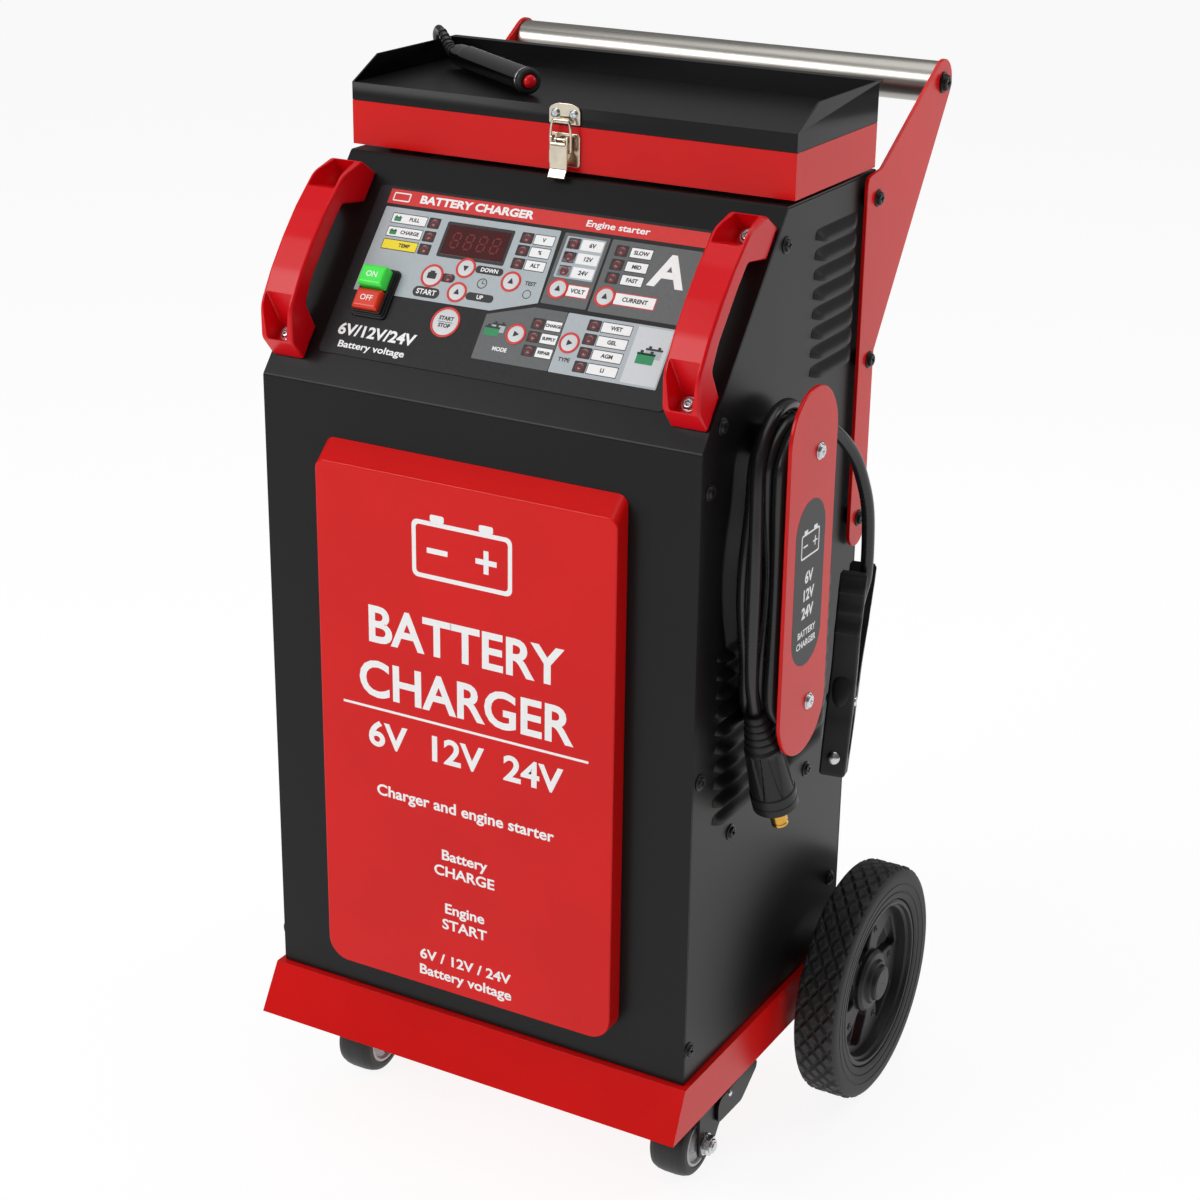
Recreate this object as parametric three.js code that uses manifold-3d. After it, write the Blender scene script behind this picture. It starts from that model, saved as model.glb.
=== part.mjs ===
// Wheeled battery charger and engine starter: a sheet-metal cabinet on a red base tray, with a sloping
// control panel, a tool box with a hinged tray lid, a push bar, carry handles, a cable hanger and a lead.
// Millimetres, +Z up, front towards -Y, right-hand side towards +X. The origin is on the floor under the
// middle of the whole machine.
import * as THREE from "three";
import { mergeVertices } from "three/addons/utils/BufferGeometryUtils.js";
import Module from "manifold-3d";

const wasm = await Module();
wasm.setup();

// ---------------------------------------------------------------- driving dimensions
const GAP = 0.3; // between pieces that touch
const SHEET = 1.5; // cabinet sheet
const HALF_W = 185; // cabinet half width
const DEPTH = 273.5; // cabinet depth, front face at y = 0
const CAB_BOTTOM = 127.7;
const BEND_Z = 627.8; // where the vertical front ends
const SLOPE_Y = 121; // where the slope meets the top
const CAB_TOP = 776.5;
const BOX_HALF_W = 187.15; // tool box and lid
const BOX_FRONT = 127.3;
const BOX_BACK = 265.7;
const BOX_BOTTOM = 779.4;
const BOX_TOP = 812.6;
const LID_FLOOR = 826.3;
const LID_RIM = 843.2;
const HINGE = { y: 269.5, z: 812.8 };
const TRAY_TOP = 127;
const SKIRT_BOTTOM = 89.2;
const SKIRT_FRONT = -25.4;
const SKIRT_BACK = 279;
const SKIRT_HALF_W = 190.9;
const BAR = { y: 383.5, z: 825.5, r: 16 };
const BRACKET_X = 187.5; // inner face of the push-bar brackets
const BRACKET_T = 3;
const BRACKET_END_R = 18;
const WHEEL = { x: 218.7, y: 260, r: 100, width: 37.4, rim: 71.7 };
const AXLE_R = 8;
const CASTOR = { x: 150, pivot_y: 98, wheel_y: 70, r: 30, width: 32 };
const HANGER = { x: 226, t: 3, y: 97, half: 38.5, z0: 380.7, z1: 661.7, post_r: 12 };
const HANGER_POSTS = [612, 419];
const LEAD_R = 5;
const CORD_R = 3; // hand switch cord
const SOCKET = { x: 60, z: 300 };
const FAN_Z = 520;

const slopeAngle = Math.atan2(CAB_TOP - BEND_Z, SLOPE_Y);
const slopeSin = Math.sin(slopeAngle);
const slopeCos = Math.cos(slopeAngle);
const frameBack = BAR.y + BRACKET_END_R;
const MIDDLE_Y = (SKIRT_FRONT + frameBack) / 2;

// ---------------------------------------------------------------- materials
const finish = (color, roughness, metalness) => () =>
  new THREE.MeshStandardMaterial({ color, roughness, metalness });
const redPaint = finish(0xd0141c, 0.3, 0.1);
const blackPaint = finish(0x1b1b1c, 0.5, 0.2);
const redPlastic = finish(0xc8121a, 0.35, 0);
const blackPlastic = finish(0x161616, 0.55, 0);
const rubber = finish(0x1a1a1a, 0.8, 0);
const steel = finish(0xb8b8b4, 0.3, 0.95);
const nickel = finish(0xd8d4c8, 0.2, 0.95);
const brass = finish(0xc59a3a, 0.3, 0.9);
const copper = finish(0xa65a32, 0.4, 0.8);
const aluminium = finish(0xb0b2b5, 0.4, 0.9);
const film = finish(0x2c2c2e, 0.5, 0);
const windowRed = finish(0x3a0a0c, 0.1, 0);
const greenPlastic = finish(0x2fc23a, 0.35, 0);
const boardGreen = finish(0x1c5a30, 0.5, 0);
const greyPlastic = finish(0xb9bcbd, 0.5, 0);

// ---------------------------------------------------------------- solid helpers
const MERGE = 1e-4;

// A closed three.js geometry as a manifold solid with its faces pointing out.
function solid(geometry) {
  const bare = geometry.clone();
  bare.deleteAttribute("normal");
  bare.deleteAttribute("uv");
  const merged = mergeVertices(bare, MERGE);
  const vertProperties = merged.attributes.position.array;
  const triVerts = new Uint32Array(merged.index.array);
  const made = new wasm.Manifold(new wasm.Mesh({ numProp: 3, vertProperties, triVerts }));
  if (made.volume() > 0) return made;
  const turned = triVerts.slice();
  for (let i = 0; i < turned.length; i += 3) {
    turned[i] = triVerts[i + 1];
    turned[i + 1] = triVerts[i];
  }
  return new wasm.Manifold(new wasm.Mesh({ numProp: 3, vertProperties, triVerts: turned }));
}

const join = (...pieces) => pieces.reduce((a, b) => a.add(b));
const cut = (body, ...tools) => tools.reduce((a, b) => a.subtract(b), body);

function box(x0, x1, y0, y1, z0, z1) {
  const g = new THREE.BoxGeometry(x1 - x0, y1 - y0, z1 - z0);
  return solid(g.translate((x0 + x1) / 2, (y0 + y1) / 2, (z0 + z1) / 2));
}

// Turns a geometry whose own axis is +Y so that the axis is x, y or z.
function aim(geometry, axis) {
  if (axis === "x") return geometry.rotateZ(-Math.PI / 2);
  if (axis === "z") return geometry.rotateX(Math.PI / 2);
  return geometry;
}

// A round bar of radius r about an axis, from a to b along it, through the point [u, v] of the other two.
function rod(axis, a, b, [u, v], r, sides = 16, r2 = r) {
  const g = aim(new THREE.CylinderGeometry(r2, r, b - a, sides), axis);
  const mid = (a + b) / 2;
  if (axis === "x") g.translate(mid, u, v);
  if (axis === "y") g.translate(u, mid, v);
  if (axis === "z") g.translate(u, v, mid);
  return solid(g);
}

// A lathe about the x axis through (y, z): the profile is [radius, x] pairs.
function turnedX(profile, [y, z], sides) {
  const points = profile.map(([r, x]) => new THREE.Vector2(r, x));
  return solid(aim(new THREE.LatheGeometry(points, sides), "x").translate(0, y, z));
}

// A lathe about the y axis through (x, z): the profile is [radius, y] pairs.
function turnedY(profile, [x, z], sides) {
  const points = profile.map(([r, y]) => new THREE.Vector2(r, y));
  return solid(new THREE.LatheGeometry(points, sides).translate(x, 0, z));
}

// A lathe about the z axis through (x, y): the profile is [radius, z] pairs, z upwards.
function turnedZ(profile, [x, y], sides) {
  const points = profile.map(([r, z]) => new THREE.Vector2(r, z));
  return solid(new THREE.LatheGeometry(points, sides).rotateX(Math.PI / 2).translate(x, y, 0));
}

// A closed outline with each corner rounded: corners are [u, v, radius].
function outline(corners) {
  const shape = new THREE.Shape();
  const n = corners.length;
  corners.forEach(([u, v, r = 0], i) => {
    const here = new THREE.Vector2(u, v);
    const before = new THREE.Vector2(...corners[(i + n - 1) % n].slice(0, 2)).sub(here);
    const after = new THREE.Vector2(...corners[(i + 1) % n].slice(0, 2)).sub(here);
    const half = before.angleTo(after) / 2;
    const back = r ? r / Math.tan(half) : 0;
    const a = here.clone().add(before.setLength(back));
    const b = here.clone().add(after.setLength(back));
    if (i === 0) shape.moveTo(a.x, a.y);
    else shape.lineTo(a.x, a.y);
    if (r) shape.quadraticCurveTo(here.x, here.y, b.x, b.y);
  });
  shape.closePath();
  return shape;
}

// An outline swept straight: in (y, z) along x, in (x, z) along y, or in (x, y) along z.
function slab(axis, shape, a, b, curveSegments = 5) {
  const g = new THREE.ExtrudeGeometry(shape, { depth: b - a, bevelEnabled: false, curveSegments });
  if (axis === "x") {
    const basis = new THREE.Matrix4().makeBasis(
      new THREE.Vector3(0, 1, 0),
      new THREE.Vector3(0, 0, 1),
      new THREE.Vector3(1, 0, 0),
    );
    g.applyMatrix4(basis).translate(a, 0, 0);
  }
  if (axis === "y") g.rotateX(Math.PI / 2).translate(0, b, 0);
  if (axis === "z") g.translate(0, 0, a);
  return solid(g);
}

const rectangle = (u0, u1, v0, v1, r = 0) =>
  outline([
    [u0, v0, r],
    [u1, v0, r],
    [u1, v1, r],
    [u0, v1, r],
  ]);

function ringSector(r0, r1, from, to) {
  const shape = new THREE.Shape();
  shape.absarc(0, 0, r1, from, to, false);
  shape.absarc(0, 0, r0, to, from, true);
  shape.closePath();
  return shape;
}

// A round tube of radius r along a smooth curve through the points.
function tube(points, r, steps, sides = 8) {
  const curve = new THREE.CatmullRomCurve3(points.map((p) => new THREE.Vector3(...p)));
  const section = new THREE.Shape();
  for (let i = 0; i < sides; i++) {
    const t = (i / sides) * 2 * Math.PI;
    if (i === 0) section.moveTo(r * Math.cos(t), r * Math.sin(t));
    else section.lineTo(r * Math.cos(t), r * Math.sin(t));
  }
  section.closePath();
  const options = { steps, extrudePath: curve, bevelEnabled: false, curveSegments: 1 };
  return solid(new THREE.ExtrudeGeometry(section, options));
}

// A fixed outline as a smooth closed curve through [u, v] points.
function smoothLoop(points, divisions) {
  const curve = new THREE.CatmullRomCurve3(
    points.map(([u, v]) => new THREE.Vector3(u, v, 0)),
    true,
  );
  const shape = new THREE.Shape();
  curve.getPoints(divisions).forEach((p, i) => {
    if (i === 0) shape.moveTo(p.x, p.y);
    else if (i < divisions) shape.lineTo(p.x, p.y);
  });
  shape.closePath();
  return shape;
}

const mirrored = (body) => body.mirror([1, 0, 0]);

function geometryOf(body) {
  const mesh = body.getMesh();
  const n = mesh.numProp;
  const positions = new Float32Array(mesh.numVert * 3);
  for (let i = 0; i < mesh.numVert; i++) {
    positions.set(mesh.vertProperties.subarray(i * n, i * n + 3), i * 3);
  }
  const g = new THREE.BufferGeometry();
  g.setAttribute("position", new THREE.BufferAttribute(positions, 3));
  g.setIndex(new THREE.BufferAttribute(mesh.triVerts, 1));
  g.computeVertexNormals();
  return g;
}

const machine = new THREE.Group();
machine.position.y = -MIDDLE_Y;
const slope = new THREE.Group(); // x across, y up the slope, z out of it
slope.position.z = BEND_Z;
slope.rotation.x = slopeAngle;
machine.add(slope);

function add(name, body, material, parent = machine) {
  const mesh = new THREE.Mesh(geometryOf(body), material());
  mesh.name = name;
  parent.add(mesh);
  return mesh;
}

const SIDES = [
  ["left", -1],
  ["right", 1],
];
const onSide = (body, sign) => (sign < 0 ? mirrored(body) : body);

// ---------------------------------------------------------------- cabinet
// The cabinet's side profile moved inwards: bottom front, bend, top front, top back, bottom back.
function profile(inset) {
  const bendRise = (inset - inset * slopeSin) / slopeCos;
  const bendZ = BEND_Z - inset * slopeCos + bendRise * slopeSin;
  const topRise = (CAB_TOP - inset - BEND_Z + inset * slopeCos) / slopeSin;
  const topY = inset * slopeSin + topRise * slopeCos;
  const back = DEPTH - inset;
  return {
    front: [
      [inset, CAB_BOTTOM],
      [inset, bendZ],
      [topY, CAB_TOP - inset],
    ],
    back,
    top: CAB_TOP - inset,
  };
}

function frontPanel() {
  const outer = profile(0);
  const inner = profile(SHEET);
  const back = inner.back - GAP;
  const points = [...outer.front, [back, CAB_TOP], [back, inner.top], ...inner.front.reverse()];
  return slab("x", outline(points), -HALF_W, HALF_W);
}

const LOUVRE = { proud: 4, rise: 11, slot: 4.5, inset: 6 };

// A pressed louvre on the right-hand panel: a hood that is open underneath, over a slot.
function louvreHood(y0, y1, z) {
  const out = HALF_W + LOUVRE.proud;
  const hood = outline([
    [-1, 0],
    [-1, LOUVRE.rise],
    [0, LOUVRE.rise],
    [LOUVRE.proud, LOUVRE.slot],
    [LOUVRE.proud, 0],
  ]);
  const g = new THREE.ExtrudeGeometry(hood, { depth: y1 - y0, bevelEnabled: false });
  const p = g.attributes.position;
  for (let i = 0; i < p.count; i++) {
    const across = p.getX(i) / LOUVRE.proud;
    const end = p.getZ(i) > 0 ? -1 : 1;
    p.setZ(i, p.getZ(i) + end * across * LOUVRE.inset);
  }
  g.rotateX(Math.PI / 2).translate(out - LOUVRE.proud, y1, z);
  return solid(g);
}

const UPPER_LOUVRES = { rows: 8, pitch: 14.6, y0: 169, y1: 243, z: 638 };
const LOWER_LOUVRES = { rows: 10, pitch: 14.5, y0: 33, y1: 229, z: 329.5 };

function sidePanel(sign) {
  const edge = profile(SHEET + GAP);
  const inside = HALF_W - SHEET;
  const top = edge.front[2][1];
  const back = DEPTH - SHEET - GAP;
  const points = [...edge.front, [back, top], [back, CAB_BOTTOM]];
  let panel = slab("x", outline(points), inside, HALF_W);
  // The hanger's posts, on the right-hand side only, stand clear of the hoods.
  const posts = (sign > 0 ? HANGER_POSTS : []).map((z) =>
    rod("x", HALF_W, HALF_W + 9, [HANGER.y, z], HANGER.post_r + 1, 14),
  );
  for (const { rows, pitch, y0, y1, z } of [UPPER_LOUVRES, LOWER_LOUVRES]) {
    for (let row = 0; row < rows; row++) {
      const bottom = z + row * pitch;
      panel = panel.add(cut(louvreHood(y0, y1, bottom), ...posts));
      const slot = box(inside - 1, HALF_W + 1, y0 + LOUVRE.inset, y1 - LOUVRE.inset, bottom - 3, bottom);
      panel = panel.subtract(slot);
    }
  }
  return panel;
}

function rearPanel() {
  const slots = [];
  for (let z = FAN_Z - 45; z <= FAN_Z + 45; z += 15) {
    const half = Math.sqrt(52 ** 2 - (z - FAN_Z) ** 2);
    slots.push(box(-half, half, DEPTH - 5, DEPTH + 1, z - 3, z + 3));
  }
  const sheet = box(-HALF_W, HALF_W, DEPTH - SHEET, DEPTH, CAB_BOTTOM, CAB_TOP);
  return cut(sheet, ...slots);
}

function cabinet() {
  add("front_panel", frontPanel(), blackPaint);
  add("rear_panel", rearPanel(), blackPaint);
  for (const [side, sign] of SIDES) {
    add(`${side}_side_panel`, onSide(sidePanel(sign), sign), blackPaint);
  }
}

// ---------------------------------------------------------------- base tray, axle and wheels
// A box whose bottom is wider than its top.
function flared(x0, y0, y1, z0, x1, y2, y3, z1) {
  const g = new THREE.BoxGeometry(2, 1, 1);
  const p = g.attributes.position;
  for (let i = 0; i < p.count; i++) {
    const low = p.getZ(i) < 0;
    const x = low ? x0 : x1;
    const front = low ? y0 : y2;
    const back = low ? y1 : y3;
    p.setXYZ(i, p.getX(i) * x, p.getY(i) < 0 ? front : back, low ? z0 : z1);
  }
  return solid(g);
}

const CROSS_FLOOR = 88.2; // underside of the castor channel

function baseTray() {
  const wall = 2;
  const top = { x: 189.6, front: -5.2, back: 278 };
  const outer = flared(
    SKIRT_HALF_W,
    SKIRT_FRONT,
    SKIRT_BACK,
    SKIRT_BOTTOM,
    top.x,
    top.front,
    top.back,
    TRAY_TOP,
  );
  const hollow = flared(
    SKIRT_HALF_W - wall,
    SKIRT_FRONT + wall,
    SKIRT_BACK - wall,
    SKIRT_BOTTOM - 1,
    top.x - wall,
    top.front + wall,
    top.back - wall,
    TRAY_TOP - wall,
  );
  const floor = box(-180, 180, 50, 146, CROSS_FLOOR, CROSS_FLOOR + wall);
  const webs = [50, 144].map((y) => box(-180, 180, y, y + wall, CROSS_FLOOR, TRAY_TOP - 1));
  const shell = join(cut(outer, hollow), floor, ...webs);
  return cut(shell, rod("x", -200, 200, [WHEEL.y, WHEEL.r], AXLE_R + 0.5, 20));
}

function tyre() {
  const { x, r, width, rim } = WHEEL;
  const half = width / 2;
  const section = [
    [rim + GAP, x - half + 4],
    [rim + 8, x - half + 1],
    [r - 7, x - half],
    [r, x - half + 5],
    [r, x + half - 5],
    [r - 7, x + half],
    [rim + 8, x + half - 1],
    [rim + GAP, x + half - 4],
    [rim + GAP, x - half + 4],
  ];
  return turnedX(section, [WHEEL.y, WHEEL.r], 32);
}

// The rim: outer band, a web pierced by five windows, and a hub with a closed cap over the axle end.
function rim() {
  const { x, rim: r } = WHEEL;
  const band = [
    [64, x - 15],
    [r, x - 15],
    [r, x + 15],
    [64, x + 15],
    [64, x - 15],
  ];
  const web = [
    [20, x - 4],
    [66, x - 4],
    [66, x + 5],
    [20, x + 5],
    [20, x - 4],
  ];
  const hub = [
    [AXLE_R + 0.5, x - 22],
    [19, x - 22],
    [24, x],
    [21, x + 15],
    [15, x + 18.5],
    [0, x + 18.5],
    [0, x + 15.5],
    [AXLE_R + 0.5, x + 15.5],
    [AXLE_R + 0.5, x - 22],
  ];
  const at = [WHEEL.y, WHEEL.r];
  const spokes = 5;
  const windows = Array.from({ length: spokes }, (_, i) => {
    const from = (i / spokes) * 2 * Math.PI;
    const opening = slab("x", ringSector(30, 58, from, from + 0.62), x - 10, x + 10, 2);
    return opening.translate([0, WHEEL.y, WHEEL.r]);
  });
  return join(cut(turnedX(web, at, 20), ...windows), turnedX(band, at, 32), turnedX(hub, at, 16));
}

function runningGear() {
  add("base_tray", baseTray(), redPaint);
  const axleEnd = WHEEL.x + 15;
  add("rear_axle", rod("x", -axleEnd, axleEnd, [WHEEL.y, WHEEL.r], AXLE_R, 20), steel);
  for (const [side, sign] of SIDES) {
    add(`${side}_rear_tyre`, onSide(tyre(), sign), rubber);
    add(`${side}_rear_rim`, onSide(rim(), sign), blackPlastic);
  }
}

// ---------------------------------------------------------------- castors
const CASTOR_LEG = 18.5; // inner face of a fork leg, from the castor's middle
const CASTOR_LEG_T = 2.5;

function castorPlate() {
  const { pivot_y: y } = CASTOR;
  const top = CROSS_FLOOR - GAP;
  const plate = box(-30, 30, y - 33, y + 33, top - 3, top);
  const race = [
    [0, top - 11],
    [18, top - 11],
    [23, top - 8],
    [23, top - 2],
    [0, top - 2],
  ];
  return join(plate, turnedZ(race.reverse(), [0, y], 16));
}

function castorFork() {
  const { pivot_y: py, wheel_y: wy, r } = CASTOR;
  const crownTop = CROSS_FLOOR - GAP - 11 - GAP;
  const crown = turnedZ(
    [
      [0, crownTop],
      [24, crownTop],
      [24, crownTop - 4],
      [0, crownTop - 4],
    ],
    [0, py],
    16,
  );
  const legShape = outline([
    [wy - 11, r - 11, 8],
    [wy + 12, r - 11, 9],
    [wy + 26, r + 8, 12],
    [py + 34, r + 8, 6],
    [py + 34, r + 22, 4],
    [py + 22, crownTop],
    [wy - 2, crownTop],
    [wy - 11, crownTop - 14, 4],
  ]);
  const bridge = box(-CASTOR_LEG - 1, CASTOR_LEG + 1, py - 16, py + 16, crownTop - 4, crownTop);
  const legs = [-1, 1].map((sign) => {
    const leg = slab("x", legShape, CASTOR_LEG, CASTOR_LEG + CASTOR_LEG_T, 3);
    return onSide(leg, sign);
  });
  const bolt = rod("x", -27, 30, [wy, r], 4, 8);
  const nut = rod("x", CASTOR_LEG + 1, 28, [wy, r], 7.4, 6);
  const head = rod("x", -25.5, -CASTOR_LEG - 1, [wy, r], 7.4, 6);
  return join(crown, bridge, ...legs, bolt, nut, head);
}

function castorWheel() {
  const { wheel_y: wy, r, width } = CASTOR;
  const h = width / 2;
  const section = [
    [4.3, -h],
    [r - 14, -h],
    [r - 4, -h + 2.5],
    [r, -4],
    [r, 4],
    [r - 4, h - 2.5],
    [r - 14, h],
    [4.3, h],
    [4.3, -h],
  ];
  return turnedX(section, [wy, r], 20);
}

// A side arm outside the leg, with a foot pad across its end.
function brakePedal() {
  const { pivot_y: py, r } = CASTOR;
  const x0 = CASTOR_LEG + CASTOR_LEG_T + GAP;
  const arm = outline([
    [py - 12, r + 10, 5],
    [py + 30, r + 9, 6],
    [py + 56, r + 26, 3],
    [py + 58, r + 33, 3],
    [py + 40, r + 35, 8],
    [py - 12, r + 31, 5],
  ]);
  const pad = box(4, x0 + 1, py + 41, py + 58, r + 31, r + 35);
  return join(slab("x", arm, x0, x0 + 2.5, 3), pad);
}

function castors() {
  for (const [side, sign] of SIDES) {
    const place = new THREE.Group();
    place.position.x = sign * CASTOR.x;
    machine.add(place);
    add(`${side}_castor_plate`, castorPlate(), blackPaint, place);
    add(`${side}_castor_fork`, castorFork(), blackPaint, place);
    add(`${side}_castor_wheel`, castorWheel(), rubber, place);
    add(`${side}_brake_pedal`, brakePedal(), blackPaint, place);
  }
}

// ---------------------------------------------------------------- front badge and control panel
function frontBadge() {
  const half = 128.7;
  const bottom = 155.5;
  const top = 589;
  const proud = 15.5;
  const face = outline([
    [-half, bottom, 18],
    [half, bottom, 18],
    [half, top, 8],
    [-half, top, 8],
  ]);
  const plate = slab("y", face, -proud, -GAP);
  const above = outline([
    [-proud, 575],
    [-GAP, top],
    [-GAP, top + 9],
    [-proud - 9, top + 9],
    [-proud - 9, 575],
  ]);
  const bevel = slab("x", above, -half - 1, half + 1);
  return cut(plate, bevel);
}

const DISPLAY = { x0: -74.1, x1: -20.5, s0: 116.7, s1: 141.1 };
const SWITCH = { x0: -128.5, x1: -98.5, s0: 57.5, s1: 97.5 };
const BUTTON = { x0: -124.5, x1: -102.5, on: [78.2, 94.2], off: [60.8, 76.8], travel: 4 };

function controlOverlay() {
  const sheet = slab("z", rectangle(-145.3, 146, 25.5, 165.5, 4), GAP, 0.9);
  const { x0, x1, s0, s1 } = DISPLAY;
  const display = box(x0 - GAP, x1 + GAP, s0 - GAP, s1 + GAP, -1, 3);
  const rocker = box(SWITCH.x0 - GAP, SWITCH.x1 + GAP, SWITCH.s0 - GAP, SWITCH.s1 + GAP, -1, 3);
  return cut(sheet, display, rocker);
}

function switchHousing() {
  const { x0, x1, s0, s1 } = SWITCH;
  const flange = slab("z", rectangle(x0, x1, s0, s1, 3), GAP, 2.8);
  const wall = slab("z", rectangle(x0 + 2, x1 - 2, s0 + 1.6, s1 - 1.6, 1.5), 1, 7.5);
  const well = box(BUTTON.x0 - 0.4, BUTTON.x1 + 0.4, BUTTON.off[0] - 0.4, BUTTON.on[1] + 0.4, 1.5, 9);
  return cut(join(flange, wall), well);
}

function rockerButton([s0, s1], height) {
  const { x0, x1 } = BUTTON;
  const post = box(x0, x1, s0, s1, height - 9.5, height - 1.5);
  const crown = flared(
    (x1 - x0) / 2,
    s0,
    s1,
    height - 1.6,
    (x1 - x0) / 2 - 1.2,
    s0 + 1.2,
    s1 - 1.2,
    height,
  ).translate([(x0 + x1) / 2, 0, 0]);
  return join(post, crown);
}

// A bowed grip on two feet, each with a pocket for its screw: s runs up the slope, h out of it.
function carryHandle() {
  const x0 = 154.3;
  const x1 = 183;
  const side = outline([
    [16.7, GAP],
    [44, GAP],
    [52, 23, 5],
    [95, 27, 60],
    [133, 26, 5],
    [149.5, GAP],
    [174.8, GAP],
    [171, 24, 8],
    [150, 37, 20],
    [95, 42.5, 90],
    [40, 38, 20],
    [21, 21, 8],
  ]);
  const grip = slab("x", side, x0, x1, 4);
  const pocket = (s0, s1, h0) => box(x0 + 6, x1 - 6, s0, s1, h0, 60);
  return cut(grip, pocket(25, 38, 12), pocket(152.5, 165, 12));
}

function controlPanel() {
  add("front_badge", frontBadge(), redPaint);
  add("control_overlay", controlOverlay(), film, slope);
  const { x0, x1, s0, s1 } = DISPLAY;
  add("display_window", box(x0, x1, s0, s1, GAP, 1.1), windowRed, slope);
  add("switch_housing", switchHousing(), blackPlastic, slope);
  add("on_button", rockerButton(BUTTON.on, 16), greenPlastic, slope);
  add("off_button", rockerButton(BUTTON.off, 16 - BUTTON.travel), redPlastic, slope);
  for (const [side, sign] of SIDES) {
    const grip = onSide(carryHandle(), sign);
    add(`${side}_carry_handle`, grip, redPlastic, slope);
  }
}

// ---------------------------------------------------------------- tool box, lid and latch
function toolBox() {
  const x = BOX_HALF_W;
  const outer = box(-x, x, BOX_FRONT, BOX_BACK, BOX_BOTTOM, BOX_TOP);
  const wall = SHEET;
  const inner = box(-x + wall, x - wall, BOX_FRONT + wall, BOX_BACK - wall, BOX_BOTTOM + wall, BOX_TOP + 5);
  const feet = [-150, 150].flatMap((fx) =>
    [150, 240].map((fy) => box(fx - 12, fx + 12, fy - 10, fy + 10, CAB_TOP + GAP, BOX_BOTTOM + 1)),
  );
  return join(cut(outer, inner), ...feet);
}

function lidTray() {
  const x = BOX_HALF_W;
  const low = BOX_TOP + GAP;
  const floor = box(-x, x, BOX_FRONT, BOX_BACK, LID_FLOOR - SHEET, LID_FLOOR);
  const front = box(-x, x, BOX_FRONT, BOX_FRONT + SHEET, low, LID_FLOOR);
  const rear = box(-x, x, BOX_BACK - SHEET, BOX_BACK, low, LID_RIM);
  const hem = box(-x, x, BOX_BACK - SHEET, DEPTH, LID_RIM - SHEET, LID_RIM);
  const cheek = outline([
    [BOX_FRONT, low],
    [BOX_BACK, low],
    [BOX_BACK, LID_RIM],
    [161, LID_RIM],
    [BOX_FRONT, LID_FLOOR],
  ]);
  const cheeks = [-1, 1].map((sign) => onSide(slab("x", cheek, x - SHEET, x), sign));
  return join(floor, front, rear, hem, ...cheeks);
}

const HINGE_HALF = 160;

function lidHinge() {
  const { y, z } = HINGE;
  const leaf = box(-HINGE_HALF, HINGE_HALF, BOX_BACK + GAP, BOX_BACK + 1.5, z - 20, z - 1);
  const neck = box(-HINGE_HALF, HINGE_HALF, BOX_BACK + 0.8, y, z - 3, z - 1.2);
  return join(leaf, neck, rod("x", -HINGE_HALF, HINGE_HALF, [y, z], 2.8, 12));
}

const LATCH = { x: 1, y: 120.5, z: 803.5, bail: 8.5 };

function latchBase() {
  const { x, y, z } = LATCH;
  const back = box(x - 13, x + 13, BOX_FRONT - 1.5, BOX_FRONT - GAP, 783, z + 4);
  const ear = outline([
    [y - 1.9, z - 1.6],
    [BOX_FRONT - 1, z - 6],
    [BOX_FRONT - 1, z + 1.6],
    [y - 1.9, z + 1.6],
  ]);
  const ears = [-4.4, 3].map((dx) => slab("x", ear, x + dx, x + dx + 1.4));
  return join(back, ...ears, rod("x", x - 7.2, x + 7.2, [y, z], 1.2, 8));
}

function latchLever() {
  const { x, y, z, bail } = LATCH;
  const face = outline([
    [y - 3.6, z - 2.5],
    [y - 3.6, z - 22],
    [y - 6.6, z - 27],
    [y - 5.4, z - 27.8],
    [y - 2.3, z - 22.5],
    [y - 2.3, z - 2.5],
  ]);
  const cheek = outline([
    [y - 3, z + 3],
    [y - 3, z - 15],
    [y + 2.6, z - 11, 1],
    [y + 2.6, z + 3, 1],
  ]);
  const cheeks = [-7.2, 6].map((dx) => slab("x", cheek, x + dx, x + dx + 1.2));
  const lever = join(slab("x", face, x - 7.2, x + 7.2), ...cheeks);
  const pivot = rod("x", x - 9, x + 9, [y, z], 1.6, 10);
  const bailHole = rod("x", x - 9, x + 9, [y, z - bail], 1.4, 10);
  return cut(lever, pivot, bailHole);
}

function latchBail() {
  const { x, y, z, bail } = LATCH;
  const reach = 8.5;
  const low = z - bail;
  const high = z + 14;
  const sides = [-1, 1].map((sign) => {
    const leg = rod("z", low, high, [x + sign * reach, y], 0.95, 8);
    const ends = [x + sign * reach, x + sign * (reach - 2.2)].sort((a, b) => a - b);
    const stub = rod("x", ends[0] - 0.3, ends[1] + 0.3, [y, low], 0.9, 8);
    return join(leg, stub);
  });
  return join(...sides, rod("x", x - reach - 0.4, x + reach + 0.4, [y, high], 0.95, 8));
}

function latchKeeper() {
  const { x, z } = LATCH;
  const low = BOX_TOP + 1.2;
  const face = outline([
    [x - 13, low],
    [x + 13, low],
    [x + 13, low + 12],
    [x + 8, low + 15.5, 3],
    [x - 8, low + 15.5, 3],
    [x - 13, low + 12],
  ]);
  const plate = slab("y", face, BOX_FRONT - 1.5, BOX_FRONT - GAP);
  const hook = outline([
    [BOX_FRONT - 1, z + 11],
    [121.9, z + 11],
    [121.9, z + 15.5],
    [122.9, z + 15.5],
    [122.9, z + 12.2],
    [BOX_FRONT - 1, z + 12.2],
  ]);
  return join(plate, slab("x", hook, x - 6, x + 6));
}

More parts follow.
